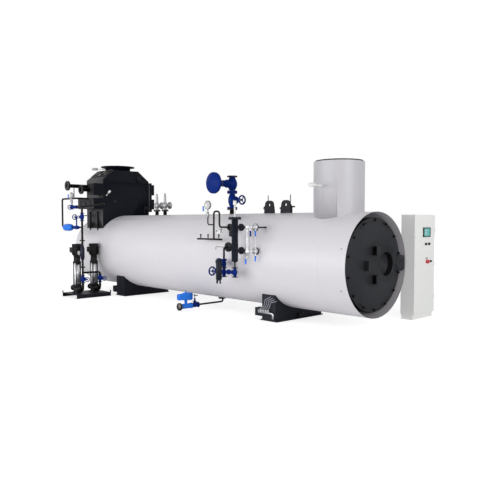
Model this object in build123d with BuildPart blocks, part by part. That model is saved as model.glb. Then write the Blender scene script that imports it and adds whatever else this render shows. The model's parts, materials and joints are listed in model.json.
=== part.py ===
from build123d import *
import math
import os
from collections import namedtuple

# A packaged heat-recovery steam boiler: a long clad shell on two saddles, a flue inlet
# on top at the front, an economizer astride the shell at the rear, twin feed pumps on
# a skid, the steam, level, pressure and blowdown fittings, and a control cabinet.
# Millimetres. X runs along the boiler axis towards the round front plate, Y away from
# the fitted side, Z up. The origin is on the floor at the middle of the front saddle.

# Boiler body
axis_height = 1180
casing_d = 1920
casing_length = 9525
casing_wall = 110
front_reach = 2015
rear_x = front_reach - casing_length
skirt_sheet = 8
skirt_depth = 190
front_ring_depth = 60
front_ring_wall = 80
head_thickness = 110
head_edge_radius = 14
rear_cover_d = 640
rear_cover_t = 28

# Front plate and what stands on it
plate_gap = 92
plate_d = casing_d - 2 * (skirt_sheet + plate_gap)
plate_t = 130
plate_edge_chamfer = 8
bolt_count = 14
bolt_ring_margin = 46
bolt_ring_d = plate_d - 2 * bolt_ring_margin
bolt_head_r = 25
bolt_head_h = 22
port_y = 395
port_d = 440
port_depth = 110
strap_radius = 258
strap_height = 168
strap_width = 110
strap_reach = 95
strap_wall = 14
hinge_plate_overlap = 160
hinge_plate_overhang = 84
hinge_plate_y = plate_d / 2 - hinge_plate_overlap
hinge_plate_end_y = plate_d / 2 + hinge_plate_overhang
hinge_plate_height = 290
hinge_plate_t = 50
hinge_plate_corner = 36
hinge_plate_hole_y = hinge_plate_y + 75
hinge_plate_hole_r = 20

# Flue inlet
flue_x = 1157
flue_d = 960
flue_bore_d = 740
flue_top_z = 3080
flue_flange_d = 900
flue_flange_t = 25
flue_bolt_ring_d = 820
flue_bolt_hole_r = 11
flue_bolt_count = 12

# Temperature sensors
sensor_z = 2620
sensor_sleeve = 150
sensor_neck = 230
sensor_head_r = 38
sensor_reach = 400
probe_boss_z = 2690

# Saddles
rear_saddle_setback = 2030
rear_saddle_x = rear_x + rear_saddle_setback
saddle_width = 1425
saddle_depth = 360
saddle_top_z = 530
saddle_foot_depth = 450
saddle_foot_t = 20
anchor_spacing_x = 404
anchor_spacing_y = 1200
anchor_hole_r = 11
jack_box_reach = 200
jack_box_width = 150
jack_box_height = 160
jack_box_low_z = 80
jack_box_wall = 15

# Economizer
economizer_setback = 785
economizer_x = rear_x + economizer_setback
economizer_length = 890
economizer_half_width = 745
economizer_wall = 40
eaves_z = 3125
hood_height = 275
roof_z = eaves_z + hood_height
roof_half_width = 395
gas_passage_width = 900
outlet_d = 695
outlet_bore_d = 655
outlet_flange_d = 940
outlet_neck_height = 110
outlet_flange_z = roof_z + outlet_neck_height
outlet_flange_t = 22
outlet_bolt_ring_d = 860
outlet_bolt_hole_r = 11
outlet_bolt_count = 12
tube_r = 19
tube_rows_z = (2420, 2860)
tubes_per_row = 7
header_reach = 310
header_overhang = 60
header_box_z = ((2320, 2610), (2700, 3005))
header_box_length = (880, 330)
return_plate_reach = 70
return_plate_z = (2250, 3085)
return_box_reach = 155
return_box_z = ((2325, 2615), (2735, 3035))
gusset_depth = 48
gusset_t = 26
gusset_offset = 205
gusset_x = (economizer_x - gusset_offset, economizer_x + gusset_offset)
gusset_low_z = 1690
panel_bar_z = 2140
panel_bar_size = 24
panel_bar_overhang = 100
hood_frame_bar = 22
hood_frame_t = 25
hood_frame_height = 280
hood_frame_edge = 60

# Lifting lugs and the fittings along the crown
lug_x = (-665, -192)
lug_width = 340
lug_shoulder = 90
lug_top_z = 2404
lug_t = 40
lug_crown_r = 92
lug_eye_r = 30
electrode_places = ((-946, 250), (-294, 250))
electrode_flange_r = 100
electrode_flange_z = 2265
electrode_top_z = 2535
safety_setback = 1935
safety_pitch = 360
safety_x = (economizer_x + safety_setback, economizer_x + safety_setback + safety_pitch)
safety_nozzle_z = 2260
safety_top_z = 2700

# Steam line
steam_x = -1840
steam_nozzle_z = 2265
steam_joint_z = 2631
steam_outlet_z = 3000
steam_pipe_r = 57
steam_flange_r = 116
steam_flange_t = 30
steam_body_r = 114
steam_bonnet_r = 74
steam_bolt_ring_d = 180
steam_bolt_hole_r = 9
steam_bolt_count = 8
steam_bore_r = 50
lens_start = 440
actuator_r = 235
actuator_rim = 50

# Level standpipe and gauge glass
column_y = -1200
standpipe_x = -448
standpipe_r = 64
standpipe_top_z = 2000
standpipe_low_z = 1163
standpipe_flange_r = 125
standpipe_joint_y = -1050
bracket_z = (1660, 1810)
level_high_z = 1850
level_low_z = 1390
level_flange_r = 72
probe_top_z = 2370
glass_x = -95
glass_r = 25

# Pressure group
pressure_x = -830
pressure_y = -1100
pressure_joint_y = -1000
manifold_z = 1600
manifold_ends_x = (-1728, -948)
syphon_top_z = 2172
syphon_bend = 60
syphon_legs_x = (-1020, -1195)
pressure_pipe_r = 19
manifold_cocks_x = (-1620, -1380, -1038)
gauge_branch_z = 1900
gauge_foot_z = 2040
dial_x = -1385
dial_z = 2308
dial_r = 92
dial_depth = 48

# Surface blowdown and sampling group
surface_x = -815
surface_z = 1450
surface_flange_r = 97
surface_valve_y = -1160
cooler_place = (-765, -1340)
cooler_r = 60
cooler_low_z = 800
cooler_top_z = 1220

# Bottom blowdown
blowdown_x = -2170
blowdown_z = 110
blowdown_pipe_r = 20
blowdown_valve_y = -735
blowdown_end_y = -1275
blowdown_flange_r = 84
blowdown_flange_t = 36
blowdown_body_r = 56
blowdown_joint_r = 62
actuator_span_y = (-1278, -948)
actuator_span_z = (240, 400)
actuator_width = 150

# Feed pumps, their skid and the feed line
skid_setback = 285
skid_length = 790
skid_x = (economizer_x + skid_setback, economizer_x + skid_setback + skid_length)
skid_y = (-1870, -897)
skid_height = 100
skid_plate_t = 8
skid_flange = 55
pump_setback = 555
pump_x = economizer_x + pump_setback
pump_y = (-1590, -1100)
pump_foot_top_z = 305
pump_stage_top_z = 875
pump_lantern_top_z = 1085
pump_motor_top_z = 1385
pump_stage_r = 84
pump_rod_r = 11
pump_rod_count = 4
pump_cover_r = 108
pump_sole_t = 25
pump_motor_r = 122
pump_port_reach = 225
pump_port_flange_r = 78
pump_port_flange_t = 24
terminal_box_reach = 55
terminal_box_width = 120
terminal_box_height = 130
riser_offset = 310
riser_x = pump_x + riser_offset
header_z = 640
riser_pipe_r = 27
riser_flange_r = 66
riser_flange_z = (785, 1480)
check_valve_z = (965, 1365)
check_valve_r = 54
riser_top_z = 2352
riser_bend = 70

# Control cabinet
cabinet_front_x = 1945
cabinet_depth = 300
cabinet_y = 1420
cabinet_width = 800
cabinet_height = 2100
plinth_height = 100
plinth_inset = 12
cabinet_sheet = 20
door_t = 20
door_gap = 5
door_inset = 2
knuckle_r = 6
knuckle_offset = 9
knuckle_length = 40
knuckle_gap = 0.3
knuckle_low_z = 420
knuckle_high_z = cabinet_height - 320
knuckle_z = (knuckle_low_z, (knuckle_low_z + knuckle_high_z) / 2, knuckle_high_z)

# Running clearance between a valve stem and its handwheel
wheel_clearance = 0.3

Valve = namedtuple("Valve", "half_length flange_r flange_t body_r neck_r reach stem_r wheel_r")
steam_valve = Valve(183, 116, 30, 92, 57, 325, 10, 112)
feed_valve = Valve(105, 58, 16, 52, 30, 395, 8, 75)
branch_valve = Valve(60, 46, 12, 42, 24, 120, 6, 67)
pump_valve = Valve(105, 62, 16, 56, 30, 232, 8, 68)
sample_valve = Valve(97, 60, 14, 50, 26, 362, 8, 100)
column_drain_valve = Valve(97, 60, 14, 48, 24, 190, 9, 0)

# Worked out from the sizes above
casing_r = casing_d / 2
shell_bore_r = casing_r - casing_wall
front_x = front_reach
plate_back_x = front_x - skirt_depth
plate_face_x = plate_back_x + plate_t
crown_z = axis_height + casing_r
along_x = (1, 0, 0)
towards_viewer = (0, -1, 0)
along_y = (0, 1, 0)
up = (0, 0, 1)
pump_valve_z = 480
feed_valve_z = 2087
feed_branch_z = 1815
branch_y = pump_y[0]
feed_stop_centre = (riser_x, branch_y, feed_valve_z)
gauge_valve_offset = 540
gauge_valve_z = 2350
gauge_valve_centre = (riser_x - gauge_valve_offset, branch_y, gauge_valve_z)
branch_x = gauge_valve_centre[0]
branch_z = gauge_valve_centre[2]
branch_barrel_offset = 269
branch_barrel_x = riser_x - branch_barrel_offset
control_offset = 300
control_x = riser_x - control_offset
control_body_r = 50
feed_actuator_offset = 230
feed_actuator_x = control_x - feed_actuator_offset
loop_pipe_r = 24
loop_y = -1415
loop_start_x = economizer_x + gusset_offset
loop_reach = 590
loop_left_x = economizer_x - loop_reach
loop_z = 2595
steam_valve_centre = (steam_x, 0, steam_nozzle_z + steam_valve.half_length)
control_half = (steam_outlet_z - steam_joint_z) / 2
control_z = steam_joint_z + control_half
bonnet_end = 300
surface_valve_centre = (surface_x, surface_valve_y, 948)
surface_check_length = 168
surface_check_r = 48
sample_pipe_z = 1110
sample_rod_y = surface_valve_y + 30
surface_check_top_z = surface_valve_centre[2] + sample_valve.half_length + surface_check_length
shutoff_length = 195
cock_reach = 52
column_drain_z = 967
gauge_flange_y = -985
surface_flange_y = -1060
nozzle_face_y = -economizer_half_width - header_reach
economizer_front_x = economizer_x + economizer_length / 2
economizer_rear_x = economizer_x - economizer_length / 2
header_front_x = economizer_front_x + header_overhang
return_plate_y = economizer_half_width + return_plate_reach
return_box_y = economizer_half_width + return_box_reach
port_z = 215
riser_entry_y = nozzle_face_y + 140
vent_offset = 105
vent_x = economizer_x + vent_offset
vent_z = 2925
inlet_end_y = -1575
inlet_flange_r = 128
outlet_offset = 280
outlet_z = 2830
outlet_end_y = -1275
outlet_flange_r = 122
water_nozzles = (
    (vent_x, vent_z, -economizer_half_width, inlet_end_y, inlet_flange_r),
    (economizer_x + outlet_offset, outlet_z, nozzle_face_y, outlet_end_y, outlet_flange_r),
)
water_pipe_r = 50
water_flange_t = 44
feed_gauge_z = 2665
feed_gauge_r = 66
feed_gauge_depth = 44
front_face = Plane(origin=(plate_face_x, 0, axis_height), x_dir=(0, 1, 0), z_dir=along_x)


def disc(at, axis, radius, thickness, bore=0.0):
    """Round plate or flange that grows along its axis from a point."""
    with BuildSketch(Plane(origin=at, z_dir=axis)) as face:
        Circle(radius)
        if bore:
            Circle(bore, mode=Mode.SUBTRACT)
    extrude(face.sketch, amount=thickness)


def bar(start, end, radius):
    """Straight round bar or pipe between two points."""
    run = Vector(*end) - Vector(*start)
    disc(start, run, radius, run.length)


def pipe(route, radius, bend):
    """Pipe through a list of corners, all bent to one radius."""
    with BuildLine() as path:
        FilletPolyline(*route, radius=bend)
    with BuildSketch(Plane(origin=path.line @ 0, z_dir=path.line % 0)) as section:
        Circle(radius)
    sweep(section.sketch, path=path.line)


def turned(at, axis, outline):
    """Turned piece: pairs of radius and height along an axis."""
    foot = Plane(origin=at, z_dir=axis)
    with BuildSketch(Plane(origin=at, x_dir=foot.x_dir, z_dir=-foot.y_dir)) as half:
        with BuildLine():
            Polyline((0, outline[0][1]), *outline, (0, outline[-1][1]), close=True)
        make_face()
    revolve(half.sketch, axis=Axis(at, axis))


def box_between(low, high, mode=Mode.ADD):
    """Square-edged block between two opposite corners."""
    size = Vector(*high) - Vector(*low)
    with Locations(low):
        Box(size.X, size.Y, size.Z, align=(Align.MIN, Align.MIN, Align.MIN), mode=mode)


def cut_to_casing():
    """Trim what stands on the casing to the round of the cladding."""
    with BuildSketch(Plane.YZ.offset(rear_x)) as round_casing:
        with Locations((0, axis_height)):
            Circle(casing_r)
    extrude(round_casing.sketch, amount=casing_length, mode=Mode.SUBTRACT)


def bolt_holes(at, axis, ring_d, hole_r, count, depth):
    """Ring of bolt holes through a flange, none of them on the main axes."""
    with BuildSketch(Plane(origin=at, z_dir=axis)) as ring:
        with PolarLocations(ring_d / 2, count, start_angle=180 / count):
            Circle(hole_r)
    extrude(ring.sketch, amount=depth, mode=Mode.SUBTRACT)


def finish(piece, name):
    """Name a piece and write its file."""
    piece.part.label = name
    export_step(piece.part, f"parts/{name}.step")


def globe_body(valve, centre, flow, stem):
    """Flanged globe valve body with bonnet, two-armed yoke and stem."""
    half = valve.half_length
    inlet = Vector(*centre) - Vector(*flow) * half
    bulge = valve.body_r
    outline = (
        (valve.flange_r, 0),
        (valve.flange_r, valve.flange_t),
        (valve.neck_r, valve.flange_t),
        (bulge, half - 0.45 * bulge),
        (bulge, half + 0.45 * bulge),
        (valve.neck_r, 2 * half - valve.flange_t),
        (valve.flange_r, 2 * half - valve.flange_t),
        (valve.flange_r, 2 * half),
    )
    turned(inlet, flow, outline)
    bonnet = valve.body_r * 1.15
    cover_end = bonnet + valve.flange_t
    boss_low = valve.reach - 3.6 * valve.stem_r
    boss_high = valve.reach - 2 * valve.stem_r
    bonnet_outline = (
        (valve.body_r * 0.62, 0),
        (valve.body_r * 0.62, bonnet),
        (valve.body_r * 0.9, bonnet),
        (valve.body_r * 0.9, cover_end),
        (valve.stem_r, cover_end),
        (valve.stem_r, boss_low),
        (valve.stem_r * 2.4, boss_low),
        (valve.stem_r * 2.4, boss_high),
        (valve.stem_r, boss_high),
        (valve.stem_r, valve.reach + 1.6 * valve.stem_r),
    )
    turned(centre, stem, bonnet_outline)
    if boss_low > cover_end + valve.stem_r:
        across = Vector(*stem).cross(Vector(*flow))
        yoke_face = Plane(origin=centre, x_dir=flow, z_dir=across)
        with BuildSketch(yoke_face) as arms:
            for side in (-1, 1):
                foot = side * valve.body_r * 0.68
                head = side * valve.stem_r * 1.7
                with BuildLine():
                    Polyline(
                        (foot - valve.stem_r * 0.55, -cover_end),
                        (foot + valve.stem_r * 0.55, -cover_end),
                        (head + valve.stem_r * 0.55, -boss_high),
                        (head - valve.stem_r * 0.55, -boss_high),
                        close=True,
                    )
                make_face()
        extrude(arms.sketch, amount=valve.stem_r * 0.7, both=True)


def wheel_centre(valve, centre, stem):
    """Point on the stem where the middle of the handwheel runs."""
    return Vector(*centre) + Vector(*stem) * (valve.reach + 0.2 * valve.stem_r)


def handwheel(valve, centre, stem):
    """Rim, three spokes and a hub bored to run on the stem."""
    rim_bar = valve.wheel_r * 0.11
    hub_r = valve.stem_r * 2.1
    hub_half = valve.stem_r * 1.1
    middle = wheel_centre(valve, centre, stem)
    face = Plane(origin=middle, z_dir=stem)
    with BuildSketch(Plane(origin=middle, x_dir=face.x_dir, z_dir=-face.y_dir)) as rim:
        with Locations((valve.wheel_r - rim_bar, 0)):
            RegularPolygon(rim_bar, 6)
    revolve(rim.sketch, axis=Axis(middle, stem))
    with BuildSketch(face) as spokes:
        for turn in range(3):
            spoke_angle = 90 + 120 * turn
            with PolarLocations((valve.wheel_r - rim_bar) / 2, 1, start_angle=spoke_angle):
                Rectangle(valve.wheel_r - rim_bar, rim_bar * 1.3)
    extrude(spokes.sketch, amount=rim_bar * 0.6, both=True)
    disc(tuple(middle - Vector(*stem) * hub_half), stem, hub_r, 2 * hub_half)
    with BuildSketch(Plane(origin=middle - Vector(*stem) * valve.wheel_r, z_dir=stem)) as bore:
        Circle(valve.stem_r + wheel_clearance)
    extrude(bore.sketch, amount=2 * valve.wheel_r, mode=Mode.SUBTRACT)


os.makedirs("parts", exist_ok=True)

# Clad shell, open at the front skirt, the flue inlet and the gas passage
ring_x = plate_back_x - front_ring_depth
with BuildPart() as boiler_casing:
    with BuildSketch(Plane.XZ):
        with BuildLine():
            Polyline(
                (rear_x + head_thickness, axis_height + shell_bore_r),
                (rear_x + head_thickness, crown_z),
                (front_x, crown_z),
                (front_x, crown_z - skirt_sheet),
                (plate_back_x, crown_z - skirt_sheet),
                (plate_back_x, axis_height + shell_bore_r - front_ring_wall),
                (ring_x, axis_height + shell_bore_r - front_ring_wall),
                (ring_x, axis_height + shell_bore_r),
                close=True,
            )
        make_face()
    revolve(axis=Axis((0, 0, axis_height), along_x))
    with BuildSketch(Plane.XY.offset(axis_height)):
        with Locations((flue_x, 0)):
            Circle(flue_bore_d / 2)
        with Locations((economizer_x, 0)):
            Rectangle(economizer_length - 4 * economizer_wall, gas_passage_width)
    extrude(amount=casing_d, mode=Mode.SUBTRACT)
finish(boiler_casing, "boiler_casing")

# Flat clad rear end with a rounded edge
with BuildPart() as rear_end:
    disc((rear_x, 0, axis_height), along_x, casing_r, head_thickness)
    fillet(rear_end.faces().sort_by(Axis.X)[0].edges(), head_edge_radius)
finish(rear_end, "rear_end")

# Bolted inspection cover on the rear end
with BuildPart() as rear_cover:
    disc((rear_x, 0, axis_height), (-1, 0, 0), rear_cover_d / 2, rear_cover_t)
    chamfer(rear_cover.faces().sort_by(Axis.X)[0].edges(), rear_cover_t / 5)
    cover_out = Plane(origin=(rear_x - rear_cover_t, 0, axis_height), z_dir=(-1, 0, 0))
    with BuildSketch(cover_out):
        with PolarLocations(rear_cover_d / 2 * 0.87, 10):
            RegularPolygon(bolt_head_r * 0.7, 6)
    extrude(amount=bolt_head_h * 0.7)
    for side in (-1, 1):
        box_between(
            (rear_x - rear_cover_t - 60, side * 90 - 10, axis_height - 12),
            (rear_x - rear_cover_t, side * 90 + 10, axis_height + 12),
        )
    box_between(
        (rear_x - rear_cover_t - 70, -100, axis_height - 12),
        (rear_x - rear_cover_t - 50, 100, axis_height + 12),
    )
finish(rear_cover, "rear_cover")

# Thick round front plate with its recessed port and the flat hinge plate at its edge
with BuildPart() as front_plate:
    disc((plate_back_x, 0, axis_height), along_x, plate_d / 2, plate_t)
    chamfer(front_plate.faces().sort_by(Axis.X)[-1].edges(), plate_edge_chamfer)
    with BuildSketch(front_face):
        with Locations((port_y, 0)):
            Circle(port_d / 2)
    extrude(amount=-port_depth, mode=Mode.SUBTRACT)
    half_height = hinge_plate_height / 2
    with BuildSketch(front_face):
        with BuildLine():
            Polyline(
                (hinge_plate_y, -half_height),
                (hinge_plate_end_y - hinge_plate_corner, -half_height),
                (hinge_plate_end_y, -half_height + hinge_plate_corner),
                (hinge_plate_end_y, half_height - hinge_plate_corner),
                (hinge_plate_end_y - hinge_plate_corner, half_height),
                (hinge_plate_y, half_height),
                close=True,
            )
        make_face()
        with Locations((hinge_plate_hole_y, 0)):
            Circle(hinge_plate_hole_r, mode=Mode.SUBTRACT)
    extrude(amount=hinge_plate_t)
finish(front_plate, "front_plate")

# Hexagon bolts round the front plate
with BuildPart() as front_plate_bolts:
    with BuildSketch(front_face):
        with PolarLocations(bolt_ring_d / 2, bolt_count, start_angle=180 / bolt_count):
            RegularPolygon(bolt_head_r, 6)
    extrude(amount=bolt_head_h)
finish(front_plate_bolts, "front_plate_bolts")

# Four hollow square straps, one of them down in the port
with BuildPart() as front_plate_straps:
    for radial in ((0, 0, 1), (0, 0, -1), (0, -1, 0), (0, 1, 0)):
        upright = radial[2] != 0
        sunk = radial[1] > 0
        foot_x = plate_face_x - (port_depth if sunk else 0)
        across = strap_height if upright else strap_width
        length = strap_width if upright else strap_height
        middle = Vector(foot_x, 0, axis_height) + Vector(*radial) * strap_radius
        tunnel = along_y if upright else up
        with BuildSketch(Plane(origin=middle, x_dir=along_x, z_dir=tunnel)) as loop:
            with Locations((strap_reach / 2, 0)):
                Rectangle(strap_reach, across)
            with Locations(((strap_reach - strap_wall) / 2, 0)):
                Rectangle(strap_reach - strap_wall, across - 2 * strap_wall, mode=Mode.SUBTRACT)
        extrude(loop.sketch, amount=length / 2, both=True)
finish(front_plate_straps, "front_plate_straps")


# Clad flue stub, cut to the round of the casing, and its steel flange
with BuildPart() as flue_stub:
    with BuildSketch(Plane.XY.offset(axis_height)):
        with Locations((flue_x, 0)):
            Circle(flue_d / 2)
            Circle(flue_bore_d / 2, mode=Mode.SUBTRACT)
    extrude(amount=flue_top_z - axis_height)
    cut_to_casing()
finish(flue_stub, "flue_stub")

with BuildPart() as flue_flange:
    disc((flue_x, 0, flue_top_z), up, flue_flange_d / 2, flue_flange_t, flue_bore_d / 2)
    bolt_holes(
        (flue_x, 0, flue_top_z), up, flue_bolt_ring_d, flue_bolt_hole_r, flue_bolt_count, flue_flange_t
    )
finish(flue_flange, "flue_flange")


def saddle(x):
    """Welded saddle: foot plate, cradle cut to the shell, a jacking box at each end."""
    box_between(
        (x - saddle_foot_depth / 2, -saddle_width / 2, 0),
        (x + saddle_foot_depth / 2, saddle_width / 2, saddle_foot_t),
    )
    box_between(
        (x - saddle_depth / 2, -saddle_width / 2, saddle_foot_t),
        (x + saddle_depth / 2, saddle_width / 2, saddle_top_z),
    )
    for side in (-1, 1):
        outer = side * saddle_width / 2
        inner = outer - side * jack_box_width
        low_y, high_y = sorted((outer, inner))
        back_x = x - saddle_depth / 2
        box_between(
            (back_x - jack_box_reach, low_y, jack_box_low_z),
            (back_x, high_y, jack_box_low_z + jack_box_height),
        )
        box_between(
            (back_x - jack_box_reach, low_y + jack_box_wall, jack_box_low_z + jack_box_wall),
            (back_x, high_y - jack_box_wall, jack_box_low_z + jack_box_height - jack_box_wall),
            mode=Mode.SUBTRACT,
        )
    cut_to_casing()
    with BuildSketch(Plane.XY) as anchors:
        with Locations((x, 0)):
            with GridLocations(anchor_spacing_x, anchor_spacing_y, 2, 2):
                Circle(anchor_hole_r)
    extrude(anchors.sketch, amount=saddle_foot_t, mode=Mode.SUBTRACT)


with BuildPart() as front_saddle:
    saddle(0)
finish(front_saddle, "front_saddle")

with BuildPart() as rear_saddle:
    saddle(rear_saddle_x)
finish(rear_saddle, "rear_saddle")

# Drain and sample cocks on the end of the front saddle
drain_y = -saddle_width / 2 - 34
drain_z = 165
drain_pipe_r = 17
cock_x = (-190, -120, -50, 20)
with BuildPart() as drain_cocks:
    pipe(
        ((-250, drain_y, drain_z), (150, drain_y, drain_z), (150, drain_y, 60)),
        drain_pipe_r,
        34,
    )
    for x in cock_x:
        turned((x, drain_y, drain_z), up, ((10, 0), (10, 26), (20, 32), (20, 56), (8, 66), (8, 80)))
        bar((x, drain_y, drain_z + 44), (x, drain_y - 42, drain_z + 44), 6)
    for x in (-220, 0):
        bar((x, drain_y, drain_z), (x, -saddle_width / 2, drain_z), 9)
finish(drain_cocks, "drain_cocks")

# Economizer: gas casing cut to the shell, hood, outlet, tubes and headers
with BuildPart() as economizer_casing:
    with BuildSketch(Plane.XY.offset(axis_height)):
        with Locations((economizer_x, 0)):
            Rectangle(economizer_length, 2 * economizer_half_width)
            Rectangle(
                economizer_length - 2 * economizer_wall,
                2 * (economizer_half_width - economizer_wall),
                mode=Mode.SUBTRACT,
            )
    extrude(amount=eaves_z - axis_height)
    for side in (-1, 1):
        outer = side * (economizer_half_width + gusset_depth)
        inner = side * economizer_half_width
        low_y, high_y = sorted((outer, inner))
        for x in gusset_x:
            box_between(
                (x - gusset_t / 2, low_y, gusset_low_z),
                (x + gusset_t / 2, high_y, return_plate_z[0]),
            )
        box_between(
            (economizer_rear_x - panel_bar_overhang, low_y, panel_bar_z - panel_bar_size / 2),
            (gusset_x[1] + gusset_t / 2, high_y, panel_bar_z + panel_bar_size / 2),
        )
    box_between(
        (economizer_rear_x + header_overhang, economizer_half_width, return_plate_z[0]),
        (header_front_x, return_plate_y, return_plate_z[1]),
    )
    cut_to_casing()
finish(economizer_casing, "economizer_casing")

with BuildPart() as economizer_hood:
    with BuildSketch(Plane.YZ.offset(economizer_rear_x)):
        with BuildLine():
            Polyline(
                (-economizer_half_width, eaves_z),
                (economizer_half_width, eaves_z),
                (roof_half_width, roof_z),
                (-roof_half_width, roof_z),
                close=True,
            )
        make_face()
    extrude(amount=economizer_length)
    with BuildSketch(Plane.YZ.offset(economizer_rear_x + economizer_wall)):
        with BuildLine():
            Polyline(
                (-economizer_half_width + economizer_wall, eaves_z),
                (economizer_half_width - economizer_wall, eaves_z),
                (roof_half_width - economizer_wall / 2, roof_z - economizer_wall / 2),
                (-roof_half_width + economizer_wall / 2, roof_z - economizer_wall / 2),
                close=True,
            )
        make_face()
    extrude(amount=economizer_length - 2 * economizer_wall, mode=Mode.SUBTRACT)
    with BuildSketch(Plane.XY.offset(roof_z - economizer_wall)):
        with Locations((economizer_x, 0)):
            Circle(outlet_bore_d / 2)
    extrude(amount=2 * economizer_wall, mode=Mode.SUBTRACT)
    # Raised frame with zigzag ribs on each slope
    run = economizer_half_width - roof_half_width
    rise = roof_z - eaves_z
    slope_length = math.hypot(run, rise)
    frame_width = economizer_length - 2 * hood_frame_edge
    frame_high = slope_length - hood_frame_bar / 2
    frame_low = frame_high - hood_frame_height
    for side in (-1, 1):
        slope = Plane(
            origin=(economizer_x, side * economizer_half_width, eaves_z),
            x_dir=(-side, 0, 0),
            z_dir=(0, side * rise, run),
        )
        with BuildSketch(slope) as ribs:
            with Locations((0, (frame_low + frame_high) / 2)):
                Rectangle(frame_width, hood_frame_height)
                Rectangle(
                    frame_width - 2 * hood_frame_bar,
                    hood_frame_height - 2 * hood_frame_bar,
                    mode=Mode.SUBTRACT,
                )
            with BuildLine() as zigzag:
                Polyline(
                    (-frame_width * 0.33, frame_low + hood_frame_bar),
                    (-frame_width * 0.11, frame_high - hood_frame_bar),
                    (frame_width * 0.11, frame_low + hood_frame_bar),
                    (frame_width * 0.33, frame_high - hood_frame_bar),
                )
            trace(line_width=hood_frame_bar)
        extrude(ribs.sketch, amount=hood_frame_t)
finish(economizer_hood, "economizer_hood")

with BuildPart() as economizer_outlet:
    disc((economizer_x, 0, roof_z), up, outlet_d / 2, outlet_neck_height, outlet_bore_d / 2)
    disc(
        (economizer_x, 0, outlet_flange_z), up, outlet_flange_d / 2, outlet_flange_t, outlet_bore_d / 2
    )
    bolt_holes(
        (economizer_x, 0, outlet_flange_z),
        up,
        outlet_bolt_ring_d,
        outlet_bolt_hole_r,
        outlet_bolt_count,
        outlet_flange_t,
    )
finish(economizer_outlet, "economizer_outlet")

with BuildPart() as economizer_tubes:
    tube_half = economizer_half_width - economizer_wall
    with BuildSketch(Plane.XZ.offset(-tube_half)):
        for z in tube_rows_z:
            with Locations((economizer_x, z)):
                with GridLocations((economizer_length - 3 * economizer_wall) / tubes_per_row, 0, tubes_per_row, 1):
                    Circle(tube_r)
    extrude(amount=2 * tube_half)
finish(economizer_tubes, "economizer_tubes")

with BuildPart() as economizer_headers:
    for (low_z, high_z), length in zip(header_box_z, header_box_length):
        box_between(
            (header_front_x - length, nozzle_face_y, low_z),
            (header_front_x, -economizer_half_width, high_z),
        )
    for low_z, high_z in return_box_z:
        box_between(
            (economizer_rear_x + header_overhang, return_plate_y, low_z),
            (header_front_x, return_box_y, high_z),
        )
finish(economizer_headers, "economizer_headers")

# Two flanged water nozzles: one from the casing, one from the upper header box
with BuildPart() as water_nozzle_pipes:
    for x, z, root_y, end_y, flange_r in water_nozzles:
        bar((x, root_y, z), (x, end_y, z), water_pipe_r)
        disc((x, end_y, z), towards_viewer, flange_r, water_flange_t, water_pipe_r - 8)
finish(water_nozzle_pipes, "water_nozzles")

# Skid: two channels across and a tray between them
with BuildPart() as pump_skid:
    for x, inward in ((skid_x[0], 1), (skid_x[1], -1)):
        web_low, web_high = sorted((x, x + inward * skid_plate_t))
        box_between((web_low, skid_y[0], 0), (web_high, skid_y[1], skid_height))
        foot_low, foot_high = sorted((x, x + inward * skid_flange))
        box_between((foot_low, skid_y[0], 0), (foot_high, skid_y[1], skid_plate_t))
        for y in skid_y:
            ear_low, ear_high = sorted((y, y + math.copysign(skid_plate_t, y - skid_y[0] - 1)))
            box_between(
                (min(x, x + inward * 50), ear_low, skid_height - skid_plate_t),
                (max(x, x + inward * 50), ear_high, skid_height + 55),
            )
    box_between(
        (skid_x[0], skid_y[0], skid_height - skid_plate_t),
        (skid_x[1], skid_y[1], skid_height),
    )
finish(pump_skid, "pump_skid")

# Multistage pumps: cast foot with in-line ports, tie-rodded stages, lantern, motor
with BuildPart() as pump_castings:
    foot_height = pump_foot_top_z - skid_height - pump_sole_t
    lantern_height = pump_lantern_top_z - pump_stage_top_z
    for y in pump_y:
        box_between(
            (pump_x - 100, y - 90, skid_height),
            (pump_x + 100, y + 90, skid_height + pump_sole_t),
        )
        turned(
            (pump_x, y, skid_height + pump_sole_t),
            up,
            ((96, 0), (96, 60), (84, 110), (pump_cover_r, 140), (pump_cover_r, foot_height)),
        )
        bar((pump_x - pump_port_reach, y, port_z), (pump_x + pump_port_reach, y, port_z), 48)
        for end in (-1, 1):
            port_end = (pump_x + end * pump_port_reach, y, port_z)
            disc(port_end, (-end, 0, 0), pump_port_flange_r, pump_port_flange_t)
        turned(
            (pump_x, y, pump_stage_top_z),
            up,
            (
                (pump_cover_r, 0),
                (pump_cover_r, 30),
                (pump_stage_r, 50),
                (pump_stage_r, lantern_height - 30),
                (pump_cover_r, lantern_height),
            ),
        )
        box_between(
            (pump_x - 34, y - 120, pump_stage_top_z + 62),
            (pump_x + 34, y + 120, pump_lantern_top_z - 50),
            mode=Mode.SUBTRACT,
        )
finish(pump_castings, "pump_castings")

with BuildPart() as pump_stages:
    for y in pump_y:
        with BuildSketch(Plane(origin=(pump_x, y, pump_foot_top_z), z_dir=up)) as stack:
            Circle(pump_stage_r)
            with PolarLocations(pump_stage_r + pump_rod_r + 1, pump_rod_count, start_angle=45):
                RegularPolygon(pump_rod_r, 6)
        extrude(stack.sketch, amount=pump_stage_top_z - pump_foot_top_z)
finish(pump_stages, "pump_stages")

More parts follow.
